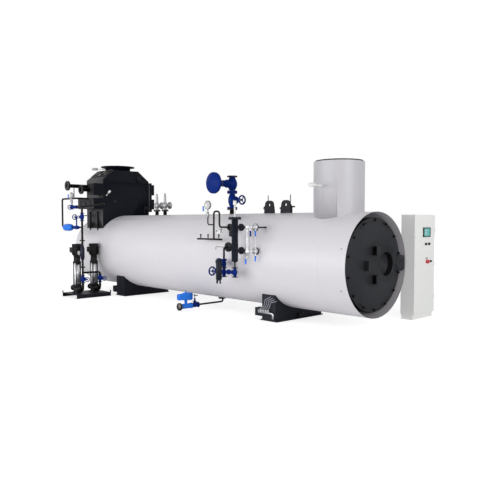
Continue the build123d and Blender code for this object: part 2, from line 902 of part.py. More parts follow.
with BuildPart() as pump_motors:
    height = pump_motor_top_z - pump_lantern_top_z
    for y in pump_y:
        turned(
            (pump_x, y, pump_lantern_top_z),
            up,
            (
                (pump_motor_r - 10, 0),
                (pump_motor_r - 4, height - 62),
                (pump_motor_r + 4, height - 60),
                (pump_motor_r + 4, height - 10),
                (pump_motor_r - 8, height),
            ),
        )
        box_middle_z = pump_lantern_top_z + height / 2
        box_foot = Plane(origin=(pump_x, y, box_middle_z), x_dir=along_x, z_dir=towards_viewer)
        with BuildSketch(box_foot) as box_face:
            RectangleRounded(terminal_box_width, terminal_box_height, 18)
        extrude(box_face.sketch, amount=pump_motor_r + terminal_box_reach)
finish(pump_motors, "pump_motors")

# Feed line: discharge bends, pump valves, header and riser to the economizer
with BuildPart() as feed_riser:
    for y in pump_y:
        pipe(
            (
                (pump_x + pump_port_reach, y, port_z),
                (riser_x, y, port_z),
                (riser_x, y, pump_valve_z - pump_valve.half_length),
            ),
            riser_pipe_r + 6,
            70,
        )
    low_y, high_y = pump_y
    pipe(
        (
            (riser_x, low_y, header_z),
            (riser_x, high_y, header_z),
            (riser_x, high_y, pump_valve_z + pump_valve.half_length),
        ),
        riser_pipe_r,
        55,
    )
    bar(
        (riser_x, low_y, pump_valve_z + pump_valve.half_length),
        (riser_x, low_y, feed_valve_z - feed_valve.half_length),
        riser_pipe_r,
    )
    turned(
        (riser_x, low_y, check_valve_z[0]),
        up,
        (
            (riser_pipe_r, 0),
            (check_valve_r, 60),
            (check_valve_r, check_valve_z[1] - check_valve_z[0] - 90),
            (riser_pipe_r, check_valve_z[1] - check_valve_z[0]),
        ),
    )
    for z in riser_flange_z:
        disc((riser_x, low_y, z - 13), up, riser_flange_r, 26)
    pipe(
        (
            (riser_x, low_y, feed_valve_z + feed_valve.half_length),
            (riser_x, low_y, riser_top_z),
            (riser_x, riser_entry_y, riser_top_z + 90),
            (header_front_x, riser_entry_y, riser_top_z + 90),
        ),
        riser_pipe_r,
        riser_bend,
    )
    bar((branch_barrel_x, branch_y, branch_z), (riser_x, branch_y, branch_z), riser_pipe_r - 3)
finish(feed_riser, "feed_riser")


# Riser stop valve, gauge branch valve and the motor-driven control valve beside it
with BuildPart() as stop_valves:
    globe_body(feed_valve, feed_stop_centre, up, (-1, 0, 0))
    globe_body(branch_valve, gauge_valve_centre, up, (-1, 0, 0))
    barrel_length = branch_barrel_x - branch_x
    turned(
        gauge_valve_centre,
        along_x,
        (
            (branch_valve.neck_r, 0),
            (branch_valve.neck_r, barrel_length * 0.25),
            (branch_valve.body_r, barrel_length * 0.4),
            (branch_valve.body_r, barrel_length * 0.75),
            (branch_valve.neck_r, barrel_length * 0.88),
            (branch_valve.flange_r, barrel_length - branch_valve.flange_t),
            (branch_valve.flange_r, barrel_length),
        ),
    )
    for y in pump_y:
        globe_body(pump_valve, (riser_x, y, pump_valve_z), up, along_x)
    turned(
        (surface_x, surface_valve_y, surface_valve_centre[2] + sample_valve.half_length),
        up,
        (
            (34, 0),
            (surface_check_r, 40),
            (surface_check_r, 90),
            (34, 130),
            (60, 140),
            (60, surface_check_length),
        ),
    )
    globe_body(sample_valve, surface_valve_centre, up, (-1, 0, 0))
    globe_body(
        column_drain_valve,
        (standpipe_x, column_y, column_drain_z),
        up,
        (-1, 0, 0),
    )
finish(stop_valves, "stop_valves")


# Pipe from the upper header round the back to the control valve, and its vent
with BuildPart() as feed_loop_pipe:
    pipe(
        (
            (loop_start_x, nozzle_face_y, loop_z),
            (loop_start_x, loop_y, loop_z),
            (loop_left_x, loop_y, loop_z),
            (loop_left_x, loop_y, feed_branch_z),
            (control_x, loop_y, feed_branch_z),
            (control_x, branch_y + control_body_r, feed_branch_z),
        ),
        loop_pipe_r,
        60,
    )
    bar((vent_x, loop_y, vent_z - water_pipe_r), (vent_x, loop_y, loop_z), 11)
finish(feed_loop_pipe, "feed_loop_pipe")

# Black nozzles that stand on the shell, cut to the round of the cladding
with BuildPart() as shell_nozzles:
    disc((steam_x, 0, axis_height), up, steam_pipe_r, steam_nozzle_z - axis_height)
    disc((steam_x, 0, steam_nozzle_z - steam_flange_t), up, steam_flange_r, steam_flange_t)
    for x in safety_x:
        disc((x, 0, axis_height), up, 46, safety_nozzle_z - axis_height)
        disc((x, 0, safety_nozzle_z - 24), up, 90, 24)
    for x, y in electrode_places:
        disc((x, y, axis_height), up, 44, electrode_flange_z - axis_height)
        disc((x, y, electrode_flange_z), up, electrode_flange_r, 26)
    for z in (level_high_z, level_low_z):
        bar((glass_x, 0, z), (glass_x, gauge_flange_y, z), 15)
        disc((glass_x, gauge_flange_y, z), along_y, level_flange_r, 16)
    bar((pressure_x, 0, level_high_z), (pressure_x, pressure_joint_y, level_high_z), 20)
    disc((pressure_x, pressure_joint_y, level_high_z), along_y, level_flange_r, 36)
    bar((surface_x, 0, surface_z), (surface_x, surface_flange_y, surface_z), 36)
    disc((surface_x, surface_flange_y, surface_z), along_y, surface_flange_r, 40)
    cut_to_casing()
    for x, y in electrode_places:
        base_z = electrode_flange_z + 26
        turned((x, y, base_z), up, ((24, 0), (24, 40), (9, 40), (9, electrode_top_z - base_z)))
finish(shell_nozzles, "shell_nozzles")

# Steam line on the crown: stop valve, control valve and its diaphragm actuator
with BuildPart() as steam_stop_valve:
    globe_body(steam_valve, steam_valve_centre, up, along_x)
finish(steam_stop_valve, "steam_stop_valve")

with BuildPart() as control_valves:
    turned(
        (steam_x, 0, steam_joint_z),
        up,
        (
            (steam_flange_r, 0),
            (steam_flange_r, steam_flange_t),
            (62, steam_flange_t),
            (steam_body_r * 0.86, control_half - 75),
            (steam_body_r, control_half - 32),
            (steam_body_r, control_half + 32),
            (steam_body_r * 0.86, control_half + 75),
            (62, 2 * control_half - steam_flange_t),
            (steam_flange_r, 2 * control_half - steam_flange_t),
            (steam_flange_r, 2 * control_half),
        ),
    )
    turned(
        (steam_x, 0, control_z),
        towards_viewer,
        (
            (steam_bonnet_r, 0),
            (steam_bonnet_r, 150),
            (steam_bonnet_r + 18, 150),
            (steam_bonnet_r + 18, 176),
            (steam_bonnet_r, 180),
            (steam_bonnet_r, bonnet_end),
        ),
    )
    with BuildSketch(Plane.XY.offset(steam_joint_z)):
        with Locations((steam_x, 0)):
            Circle(steam_bore_r)
    extrude(amount=2 * control_half, mode=Mode.SUBTRACT)
    bolt_holes(
        (steam_x, 0, steam_outlet_z - steam_flange_t),
        up,
        steam_bolt_ring_d,
        steam_bolt_hole_r,
        steam_bolt_count,
        steam_flange_t,
    )
    turned(
        (control_x, branch_y, feed_branch_z),
        along_x,
        (
            (46, -75),
            (46, -60),
            (28, -60),
            (control_body_r, -loop_pipe_r),
            (control_body_r, loop_pipe_r),
            (28, 60),
            (46, 60),
            (46, 75),
        ),
    )
    bar((control_x + 75, branch_y, feed_branch_z), (riser_x - riser_pipe_r, branch_y, feed_branch_z), 14)
    bar((feed_actuator_x, branch_y, feed_branch_z), (control_x - 75, branch_y, feed_branch_z), 36)
finish(control_valves, "control_valves")

with BuildPart() as valve_actuators:
    turned(
        (steam_x, -bonnet_end, control_z),
        towards_viewer,
        ((52, 0), (52, 18), (20, 18), (20, lens_start - bonnet_end + 20)),
    )
    for side in (-1, 1):
        bar(
            (steam_x + side * 40, -bonnet_end - 8, control_z),
            (steam_x + side * 40, -lens_start - 10, control_z),
            11,
        )
    turned(
        (steam_x, -lens_start, control_z),
        towards_viewer,
        (
            (60, 0),
            (150, 40),
            (actuator_r, 85),
            (actuator_r, 85 + actuator_rim),
            (150, 125 + actuator_rim),
            (60, 145 + actuator_rim),
            (26, 150 + actuator_rim),
        ),
    )
    turned(
        (feed_actuator_x, branch_y, feed_branch_z),
        (-1, 0, 0),
        ((30, 0), (70, 40), (92, 120), (96, 245), (92, 370), (60, 450), (34, 490)),
    )
finish(valve_actuators, "valve_actuators")

# Safety valves with their side outlets
with BuildPart() as safety_valves:
    for x in safety_x:
        height = safety_top_z - safety_nozzle_z
        turned(
            (x, 0, safety_nozzle_z),
            up,
            (
                (84, 0),
                (84, 20),
                (42, 22),
                (42, 60),
                (64, 80),
                (64, 176),
                (58, 180),
                (58, 196),
                (36, 204),
                (30, height - 60),
                (20, height - 50),
                (20, height),
            ),
        )
        bar((x, 0, safety_nozzle_z + 128), (x, 140, safety_nozzle_z + 128), 44)
        disc((x, 140, safety_nozzle_z + 128), (0, 1, 0), 92, 20)
finish(safety_valves, "safety_valves")

# Two lifting lugs on the crown
with BuildPart() as lifting_lugs:
    for x in lug_x:
        with BuildSketch(Plane.XZ) as lug:
            with Locations((x, lug_top_z - lug_crown_r)):
                Circle(lug_crown_r)
            with Locations((x, crown_z)):
                Rectangle(lug_width, 2 * lug_shoulder)
            make_hull()
            with Locations((x, lug_top_z - lug_crown_r)):
                Circle(lug_eye_r, mode=Mode.SUBTRACT)
        extrude(lug.sketch, amount=lug_t / 2, both=True)
    cut_to_casing()
finish(lifting_lugs, "lifting_lugs")


# Level standpipe on its two flanged legs
with BuildPart() as level_standpipe:
    foot_z = standpipe_low_z
    turned(
        (standpipe_x, column_y, foot_z),
        up,
        (
            (20, 0),
            (standpipe_r, 26),
            (standpipe_r, standpipe_top_z - foot_z),
            (standpipe_flange_r, standpipe_top_z - foot_z),
            (standpipe_flange_r, standpipe_top_z - foot_z + 50),
        ),
    )
    for z in (level_high_z, level_low_z):
        bar((standpipe_x, column_y, z), (standpipe_x, 0, z), 24)
        disc((standpipe_x, standpipe_joint_y, z), along_y, level_flange_r, 40)
    box_between(
        (standpipe_x - standpipe_r - 42, column_y - 8, bracket_z[0]),
        (standpipe_x, column_y + 8, bracket_z[1]),
    )
    drain_top_z = column_drain_z + column_drain_valve.half_length
    bar((standpipe_x, column_y, drain_top_z), (standpipe_x, column_y, foot_z + 10), 14)
    cut_to_casing()
finish(level_standpipe, "level_standpipe")


# Gauge glass: silver cocks on the two shell legs, white guarded glass between them
with BuildPart() as gauge_glass_cocks:
    for z, towards_glass in ((level_high_z, -1), (level_low_z, 1)):
        disc((glass_x, gauge_flange_y, z), towards_viewer, level_flange_r - 6, 20)
        bar((glass_x, gauge_flange_y, z), (glass_x, column_y, z), 17)
        turned((glass_x, gauge_flange_y - 90, z), towards_viewer, ((20, 0), (34, 14), (34, 50), (20, 64)))
        turned(
            (glass_x, column_y, z),
            (0, 0, towards_glass),
            ((26, -36), (36, -20), (36, 20), (glass_r + 4, 30), (glass_r + 4, cock_reach)),
        )
    bar((glass_x, column_y, level_low_z - 84), (glass_x, column_y, level_low_z - 30), 13)
finish(gauge_glass_cocks, "gauge_glass_cocks")

with BuildPart() as gauge_glass:
    disc(
        (glass_x, column_y, level_low_z + cock_reach),
        up,
        glass_r,
        level_high_z - level_low_z - 2 * cock_reach,
    )
finish(gauge_glass, "gauge_glass")

# Pressure group: syphon pipe, manifold with three cocks, gauge branch
with BuildPart() as pressure_manifold:
    right_x, left_x = syphon_legs_x
    pipe(
        (
            (pressure_x, pressure_joint_y, level_high_z),
            (pressure_x, pressure_y, level_high_z),
            (right_x, pressure_y, level_high_z),
            (right_x, pressure_y, syphon_top_z),
            (left_x, pressure_y, syphon_top_z),
            (left_x, pressure_y, manifold_z),
        ),
        pressure_pipe_r,
        syphon_bend,
    )
    bar((manifold_ends_x[0], pressure_y, manifold_z), (manifold_ends_x[1], pressure_y, manifold_z), 19)
    for x in manifold_cocks_x:
        turned((x, pressure_y, manifold_z), up, ((9, 0), (9, 40), (16, 46), (7, 66), (7, 86)))
    pipe(
        (
            (left_x, pressure_y, gauge_branch_z),
            (dial_x, pressure_y, gauge_branch_z),
            (dial_x, pressure_y, gauge_foot_z),
        ),
        13,
        40,
    )
finish(pressure_manifold, "pressure_manifold")

with BuildPart() as pressure_gauge:
    turned(
        (dial_x, pressure_y, gauge_foot_z),
        up,
        ((16, 0), (30, 30), (30, 110), (13, 130), (13, dial_z - dial_r + 6 - gauge_foot_z)),
    )
    turned(
        (dial_x, pressure_y + dial_depth / 2, dial_z),
        towards_viewer,
        ((dial_r - 8, 0), (dial_r, 8), (dial_r, dial_depth), (dial_r - 10, dial_depth), (dial_r - 10, dial_depth - 8)),
    )
    turned(
        (branch_x, branch_y + feed_gauge_depth / 2, feed_gauge_z),
        towards_viewer,
        (
            (feed_gauge_r - 6, 0),
            (feed_gauge_r, 6),
            (feed_gauge_r, feed_gauge_depth),
            (feed_gauge_r - 7, feed_gauge_depth),
            (feed_gauge_r - 7, feed_gauge_depth - 6),
        ),
    )
    stem_low_z = branch_z + branch_valve.half_length
    stem_length = feed_gauge_z - feed_gauge_r + 6 - stem_low_z
    turned(
        (branch_x, branch_y, stem_low_z),
        up,
        (
            (14, 0),
            (14, stem_length * 0.2),
            (28, stem_length * 0.3),
            (28, stem_length * 0.6),
            (11, stem_length * 0.72),
            (11, stem_length),
        ),
    )
finish(pressure_gauge, "pressure_gauge")

# Surface blowdown drop, its blue valves, the sample cooler and sample line


with BuildPart() as sample_cooler:
    cooler_x, cooler_y = cooler_place
    height = cooler_top_z - cooler_low_z
    turned(
        (cooler_x, cooler_y, cooler_low_z),
        up,
        (
            (cooler_r - 22, 0),
            (cooler_r, 20),
            (cooler_r, height - 20),
            (cooler_r - 22, height),
        ),
    )
    for side in (-1, 1):
        bar((cooler_x + side * 24, cooler_y, cooler_low_z + 4), (cooler_x + side * 24, cooler_y, 760), 7)
    cooler_side = Vector(cooler_x, cooler_y, sample_pipe_z)
    drop_axis = Vector(surface_x, surface_valve_y, sample_pipe_z)
    drop_side = drop_axis + (cooler_side - drop_axis).normalized() * surface_check_r
    bar(tuple(cooler_side), tuple(drop_side), 9)
    pipe(
        (
            (surface_x, surface_flange_y, surface_z),
            (surface_x, surface_valve_y, surface_z),
            (surface_x, surface_valve_y, surface_check_top_z),
        ),
        20,
        60,
    )
    pipe(
        (
            (surface_x, sample_rod_y, surface_z),
            (surface_x - 283, sample_rod_y, surface_z),
            (surface_x - 283, sample_rod_y, surface_z - 63),
        ),
        6,
        14,
    )
finish(sample_cooler, "sample_cooler")

# Bottom blowdown: drain nozzle, pipe and two valves with a motor
with BuildPart() as blowdown_pipe:
    disc((blowdown_x, 0, 170), up, 34, 300)
    disc((blowdown_x, 0, 180), up, 72, 26)
    cut_to_casing()
    pipe(
        (
            (blowdown_x, 0, 185),
            (blowdown_x, 0, blowdown_z),
            (blowdown_x, blowdown_valve_y, blowdown_z),
        ),
        blowdown_pipe_r,
        50,
    )
finish(blowdown_pipe, "blowdown_pipe")

with BuildPart() as blowdown_valve:
    turned(
        (blowdown_x, blowdown_valve_y, blowdown_z),
        towards_viewer,
        (
            (blowdown_joint_r, 0),
            (blowdown_joint_r, 16),
            (30, 16),
            (52, shutoff_length / 2 - 24),
            (52, shutoff_length / 2 + 24),
            (30, shutoff_length - 16),
            (blowdown_joint_r, shutoff_length - 16),
            (blowdown_joint_r, shutoff_length),
        ),
    )
    stem_y = blowdown_valve_y - shutoff_length / 2
    turned(
        (blowdown_x, stem_y, blowdown_z),
        up,
        ((32, 0), (32, 64), (48, 64), (48, 80), (24, 80), (16, 150), (8, 150), (8, 236)),
    )
    with BuildSketch(Plane(origin=(blowdown_x, stem_y, blowdown_z + 216), z_dir=up)) as lever:
        SlotOverall(110, 24)
    extrude(lever.sketch, amount=12)
finish(blowdown_valve, "blowdown_valve")

with BuildPart() as quick_blowdown_valve:
    start_y = blowdown_valve_y - shutoff_length
    length = start_y - blowdown_end_y
    turned(
        (blowdown_x, start_y, blowdown_z),
        towards_viewer,
        (
            (blowdown_joint_r, 0),
            (blowdown_joint_r, 16),
            (blowdown_body_r, 36),
            (blowdown_body_r, length - blowdown_flange_t - 60),
            (36, length - blowdown_flange_t - 30),
            (36, length - blowdown_flange_t),
            (blowdown_flange_r, length - blowdown_flange_t),
            (blowdown_flange_r, length),
        ),
    )
    low_y, high_y = actuator_span_y
    low_z, high_z = actuator_span_z
    middle_z = (low_z + high_z) / 2
    neck_y = (low_y + high_y) / 2 + 30
    disc((blowdown_x, neck_y, blowdown_z), up, 32, middle_z - blowdown_z)
    inner_end = Plane(origin=(blowdown_x, high_y, middle_z), x_dir=along_x, z_dir=towards_viewer)
    with BuildSketch(inner_end) as housing:
        RectangleRounded(actuator_width, high_z - low_z, 30)
    extrude(housing.sketch, amount=(high_y - low_y) * 0.56)
    with BuildSketch(inner_end) as motor:
        RectangleRounded(actuator_width - 24, high_z - low_z - 24, 40)
    extrude(motor.sketch, amount=high_y - low_y)
    turned((blowdown_x, neck_y, high_z - 4), up, ((34, 0), (34, 14), (14, 18), (14, 52)))
finish(quick_blowdown_valve, "quick_blowdown_valve")


# White temperature sensor heads on the flue stub, the outlet neck and the economizer
with BuildPart() as probe_heads:
    sensor_outline = (
        (13, 0),
        (13, sensor_sleeve),
        (9, sensor_sleeve),
        (9, sensor_neck),
        (sensor_head_r, sensor_neck + 10),
        (sensor_head_r, sensor_reach - 30),
        (20, sensor_reach),
    )
    turned((flue_x, -flue_d / 2, sensor_z), towards_viewer, sensor_outline)
    out = (-math.cos(math.radians(46)), -math.sin(math.radians(46)), 0)
    turned(
        (economizer_x + out[0] * outlet_d / 2, out[1] * outlet_d / 2, outlet_flange_z - 34),
        out,
        sensor_outline,
    )
    boss_y = -economizer_half_width + 105
    boss_end_x = economizer_front_x + 30
    bar((economizer_front_x, boss_y, probe_boss_z), (boss_end_x, boss_y, probe_boss_z), 14)
    turned(
        (boss_end_x - 8, boss_y, probe_boss_z),
        (0.72, 0.2, 0.66),
        ((9, 0), (9, 100), (32, 110), (32, 170), (20, 186)),
    )
    switch_x = syphon_legs_x[0] + 20
    stub_x = syphon_legs_x[0] + syphon_bend + 6
    switch_top_z = level_high_z - pressure_pipe_r - 16
    box_between(
        (switch_x - 55, pressure_y - 50, switch_top_z - 85),
        (switch_x + 55, pressure_y + 8, switch_top_z),
    )
    bar((stub_x, pressure_y, switch_top_z), (stub_x, pressure_y, switch_top_z + 16), 8)
    probe_z = standpipe_top_z + 50
    turned(
        (standpipe_x, column_y, probe_z),
        up,
        ((30, 0), (30, 16), (18, 20), (18, probe_top_z - probe_z - 86), (34, probe_top_z - probe_z - 80),
         (34, probe_top_z - probe_z)),
    )
finish(probe_heads, "probe_heads")

# Control cabinet: plinth, carcass, mounting plate and hinged door
cabinet_back_x = cabinet_front_x - cabinet_depth
carcass_front_x = cabinet_front_x - door_t - door_gap
cabinet_end_y = cabinet_y + cabinet_width
hinge_x = cabinet_front_x
hinge_y = cabinet_end_y + knuckle_offset

with BuildPart() as cabinet_body:
    box_between(
        (cabinet_back_x + plinth_inset, cabinet_y + plinth_inset, 0),
        (carcass_front_x - plinth_inset, cabinet_end_y - plinth_inset, plinth_height),
    )
    box_between((cabinet_back_x, cabinet_y, plinth_height), (carcass_front_x, cabinet_end_y, cabinet_height))
    box_between(
        (cabinet_back_x + cabinet_sheet, cabinet_y + cabinet_sheet, plinth_height + cabinet_sheet),
        (carcass_front_x, cabinet_end_y - cabinet_sheet, cabinet_height - cabinet_sheet),
        mode=Mode.SUBTRACT,
    )
    for z in knuckle_z:
        disc((hinge_x, hinge_y, z + knuckle_gap), up, knuckle_r, knuckle_length)
        box_between(
            (carcass_front_x - 40, cabinet_end_y, z + knuckle_gap),
            (hinge_x - knuckle_r / 2, cabinet_end_y + 3, z + knuckle_gap + knuckle_length),
        )
        box_between(
            (hinge_x - knuckle_r, cabinet_end_y + 1, z + knuckle_gap),
            (hinge_x - knuckle_r / 2, hinge_y, z + knuckle_gap + knuckle_length),
        )
finish(cabinet_body, "cabinet_body")

with BuildPart() as mounting_plate:
    box_between(
        (cabinet_back_x + cabinet_sheet, cabinet_y + 60, plinth_height + 70),
        (cabinet_back_x + cabinet_sheet + 25, cabinet_end_y - 60, cabinet_height - 70),
    )
finish(mounting_plate, "mounting_plate")

with BuildPart() as cabinet_door:
    box_between(
        (cabinet_front_x - door_t, cabinet_y + door_inset, plinth_height + door_inset),
        (cabinet_front_x, cabinet_end_y - door_inset, cabinet_height - door_inset),
    )
    fillet(cabinet_door.faces().sort_by(Axis.X)[-1].edges(), 3)
    for z in knuckle_z:
        disc((hinge_x, hinge_y, z), (0, 0, -1), knuckle_r, knuckle_length)
        box_between(
            (hinge_x - knuckle_r, cabinet_end_y - 8, z - knuckle_length),
            (hinge_x - knuckle_r / 2, hinge_y, z),
        )
finish(cabinet_door, "cabinet_door")

# Screen, two rotary knobs, emergency button and small key switch on the door
screen_y = cabinet_y + 454
screen_z = cabinet_height - 352
screen_size = (280, 190)
knob_z = cabinet_height - 590
button_z = cabinet_height - 946
with BuildPart() as door_controls:
    box_between(
        (cabinet_front_x, screen_y - screen_size[0] / 2, screen_z - screen_size[1] / 2),
        (cabinet_front_x + 14, screen_y + screen_size[0] / 2, screen_z + screen_size[1] / 2),
    )
    for y, z, radius in (
        (screen_y - 28, knob_z, 26),
        (screen_y + 96, knob_z, 26),
        (screen_y + 175, button_z, 22),
    ):
        turned((cabinet_front_x, y, z), along_x, ((radius, 0), (radius, 10), (radius - 7, 34)))
finish(door_controls, "door_controls")


with BuildPart() as emergency_button:
    turned(
        (cabinet_front_x, screen_y + 24, button_z),
        along_x,
        ((38, 0), (38, 10), (22, 10), (22, 30), (40, 36), (40, 48), (26, 56)),
    )
finish(emergency_button, "emergency_button")

# Handwheels, each free to turn on its stem
wheels = (
    ("steam_stop_handwheel", steam_valve, steam_valve_centre, along_x),
    ("feed_stop_handwheel", feed_valve, feed_stop_centre, (-1, 0, 0)),
    ("gauge_branch_handwheel", branch_valve, gauge_valve_centre, (-1, 0, 0)),
    ("pump_1_handwheel", pump_valve, (riser_x, pump_y[0], pump_valve_z), along_x),
    ("pump_2_handwheel", pump_valve, (riser_x, pump_y[1], pump_valve_z), along_x),
    ("sample_handwheel", sample_valve, surface_valve_centre, (-1, 0, 0)),
)
for wheel_name, valve, centre, stem in wheels:
    with BuildPart() as wheel:
        handwheel(valve, centre, stem)
    finish(wheel, wheel_name)
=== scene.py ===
# %% [markdown]
# # An industrial steam boiler
#
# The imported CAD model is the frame: every node already stands at its real place, in
# metres. This script sets the camera and the light, gives each surface a finish that
# is worked out by nodes, and adds the small things that the solids leave out, such as
# bolts, cooling fins, levers, dials and the cabinet's display.

# %% Load the frame
import json
import math

import bmesh
import bpy
from mathutils import Matrix, Vector


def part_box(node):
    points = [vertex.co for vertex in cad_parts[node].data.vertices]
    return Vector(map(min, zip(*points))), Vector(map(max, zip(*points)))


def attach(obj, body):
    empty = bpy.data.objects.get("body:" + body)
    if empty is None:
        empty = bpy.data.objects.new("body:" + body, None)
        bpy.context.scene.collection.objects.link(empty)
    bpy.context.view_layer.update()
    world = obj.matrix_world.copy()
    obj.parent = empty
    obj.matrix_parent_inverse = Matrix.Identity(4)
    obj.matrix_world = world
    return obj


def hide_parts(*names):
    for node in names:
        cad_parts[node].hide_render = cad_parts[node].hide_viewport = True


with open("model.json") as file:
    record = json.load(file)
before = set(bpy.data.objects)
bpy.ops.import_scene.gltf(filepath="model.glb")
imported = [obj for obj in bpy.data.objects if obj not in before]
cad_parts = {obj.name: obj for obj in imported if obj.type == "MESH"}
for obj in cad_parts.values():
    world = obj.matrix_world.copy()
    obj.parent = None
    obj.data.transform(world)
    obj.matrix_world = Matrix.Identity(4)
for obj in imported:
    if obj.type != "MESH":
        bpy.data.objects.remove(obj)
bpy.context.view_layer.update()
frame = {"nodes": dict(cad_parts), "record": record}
nodes = frame["nodes"]

# %% [markdown]
# ## The camera
#
# The boiler was seen from the front right, from a little under two metres up, with a
# lens that is slightly longer than normal. A long lens keeps the round front plate from
# bulging. The numbers come from the saddles, the shell's rims and the cabinet.

# %% Camera
view_turn = math.radians(45.887)
view_drop = math.radians(2.777)
camera_data = bpy.data.cameras.new("camera")
camera_data.lens = 40.92
camera_data.sensor_width = 36.0
camera_data.clip_end = 200.0
camera = bpy.data.objects.new("camera", camera_data)
camera.location = (7.731, -8.717, 1.946)
camera.rotation_euler = (math.pi / 2 - view_drop, 0.0, view_turn)
bpy.context.scene.collection.objects.link(camera)
bpy.context.scene.camera = camera
print("camera at", tuple(camera.location))

# %% [markdown]
# ## Writing shader maths as sums
#
# A material is a small program. It could be clicked together, but a node for each plus
# and times makes it hard to read. This class wraps a socket, so that Python's own signs
# add the Math nodes.


# %% Shader expressions
class Value:
    """A socket that can be added, multiplied and compared."""

    def __init__(self, tree, socket):
        self.tree = tree
        self.socket = socket

    def combined(self, operation, first, second):
        maths = self.tree.nodes.new("ShaderNodeMath")
        maths.operation = operation
        for place, item in enumerate((first, second)):
            if isinstance(item, Value):
                self.tree.links.new(item.socket, maths.inputs[place])
            else:
                maths.inputs[place].default_value = item
        return Value(self.tree, maths.outputs[0])

    def __add__(self, other):
        return self.combined("ADD", self, other)

    __radd__ = __add__

    def __sub__(self, other):
        return self.combined("SUBTRACT", self, other)

    def __rsub__(self, other):
        return self.combined("SUBTRACT", other, self)

    def __mul__(self, other):
        return self.combined("MULTIPLY", self, other)

    __rmul__ = __mul__

    def __truediv__(self, other):
        return self.combined("DIVIDE", self, other)

    def __pow__(self, other):
        return self.combined("POWER", self, other)

    def above(self, limit):
        return self.combined("GREATER_THAN", self, limit)

    def at_most(self, limit):
        return self.combined("MINIMUM", self, limit)

    def at_least(self, limit):
        return self.combined("MAXIMUM", self, limit)


# %% [markdown]
# Materials, the surround and Geometry Nodes are all graphs of nodes, so one class serves
# them all. Its `node` method makes any node from its type, its settings and what feeds
# its sockets: a value, another node's output or a plain number.


# %% A graph of nodes
class Graph:
    """A node tree, with one method that adds any node to it."""

    def __init__(self, tree):
        self.tree = tree

    def node(self, kind, settings=None, **sockets):
        made = self.tree.nodes.new(kind)
        for key, item in (settings or {}).items():
            setattr(made, key, item)
        for key, item in sockets.items():
            self.feed(made.inputs[key.replace("_", " ")], item)
        return made

    def feed(self, socket, item):
        if isinstance(item, Value):
            self.tree.links.new(item.socket, socket)
        elif isinstance(item, bpy.types.NodeSocket):
            self.tree.links.new(item, socket)
        else:
            socket.default_value = item

    def value(self, socket):
        return Value(self.tree, socket)


# %% [markdown]
# A finish is such a graph with a shader at its end. It is worked out from the object's
# own coordinates, in metres, so its grain has a real size and no unwrapping is needed.


# %% Material builder
class Finish(Graph):
    """A material under construction, with its node tree and its shader."""

    def __init__(self, name):
        self.material = bpy.data.materials.new(name)
        self.material.use_nodes = True
        super().__init__(self.material.node_tree)
        self.shader = self.tree.nodes["Principled BSDF"]
        self.place = self.node("ShaderNodeTexCoord").outputs["Object"]

    def along(self, axis):
        """One of the object coordinates as a value."""
        parts = self.node("ShaderNodeSeparateXYZ", Vector=self.place)
        return self.value(parts.outputs[axis])

    def noise(self, scale, stretch=(1, 1, 1), detail=3.0, roughness=0.5):
        """Cloudy noise, in coordinates that are stretched by a factor along each axis."""
        mapping = self.node("ShaderNodeMapping", Vector=self.place, Scale=stretch)
        made = self.node(
            "ShaderNodeTexNoise",
            Vector=mapping.outputs["Vector"],
            Scale=scale,
            Detail=detail,
            Roughness=roughness,
        )
        return self.value(made.outputs["Fac"])

    def blend(self, amount, first, second):
        """Colour that goes from the first to the second."""
        mix = self.node("ShaderNodeMix", {"data_type": "RGBA"})
        self.feed(mix.inputs["Factor"], amount)
        self.feed(mix.inputs["A"], first)
        self.feed(mix.inputs["B"], second)
        return mix.outputs["Result"]

    def bump(self, height, strength, distance=0.001):
        made = self.node("ShaderNodeBump", Height=height, Strength=strength, Distance=distance)
        self.feed(self.shader.inputs["Normal"], made.outputs["Normal"])

    def set(self, **sockets):
        for key, item in sockets.items():
            self.feed(self.shader.inputs[key.replace("_", " ")], item)
        return self.material


# %% [markdown]
# ## Paints and metals
#
# Almost everything here is painted sheet, painted casting or stainless steel. Colours are
# easiest to judge on a screen, but a shader counts light, so one helper turns the first
# into the second. Another makes a colour lighter or darker.


# %% Colour helpers
def linear(red, green, blue):
    """A colour as it is read off a screen, turned into light."""
    parts = []
    for part in (red, green, blue):
        share = part / 255
        parts.append(share / 12.92 if share <= 0.04045 else ((share + 0.055) / 1.055) ** 2.4)
    return (*parts, 1.0)


def shade(colour, factor):
    """The same colour, lighter or darker."""
    return (*[min(1.0, part * factor) for part in colour[:3]], 1.0)


# %% [markdown]
# Up close a paint is never one colour: it has a slow drift from spraying, fine orange peel that breaks
# up its gloss, and a casting has a coarse grain under its paint. Brushed metal has streaks instead.
# Each kind is a function of a few numbers, so that a new colour is one line.


# %% Paint, metal and casting
def painted(name, colour, roughness, drift=0.06, peel=0.15, gloss=0.5, coat=0.0):
    """Sprayed paint: slow drift in colour and fine orange peel."""
    finish = Finish(name)
    slow = finish.noise(1.6, detail=4.0)
    fine = finish.noise(420.0, detail=2.0)
    tone = finish.blend(slow, shade(colour, 1.0 - drift), shade(colour, 1.0 + drift))
    finish.bump(fine, peel, 0.0006)
    finish.set(Specular_IOR_Level=gloss, Coat_Weight=coat, Coat_Roughness=0.12)
    return finish.set(Base_Color=tone, Roughness=roughness + (slow - 0.5) * 0.12)


def brushed(name, colour, roughness, grain=(1, 1, 40)):
    """Brushed metal: streaks across the grain change gloss and tone."""
    finish = Finish(name)
    streak = finish.noise(60.0, stretch=grain, detail=5.0, roughness=0.65)
    slow = finish.noise(3.0, detail=3.0)
    tone = finish.blend(streak, shade(colour, 0.86), shade(colour, 1.1))
    finish.bump(streak, 0.08, 0.0004)
    gloss = roughness + (streak - 0.5) * 0.18 + (slow - 0.5) * 0.1
    return finish.set(Base_Color=tone, Metallic=1.0, Roughness=gloss)


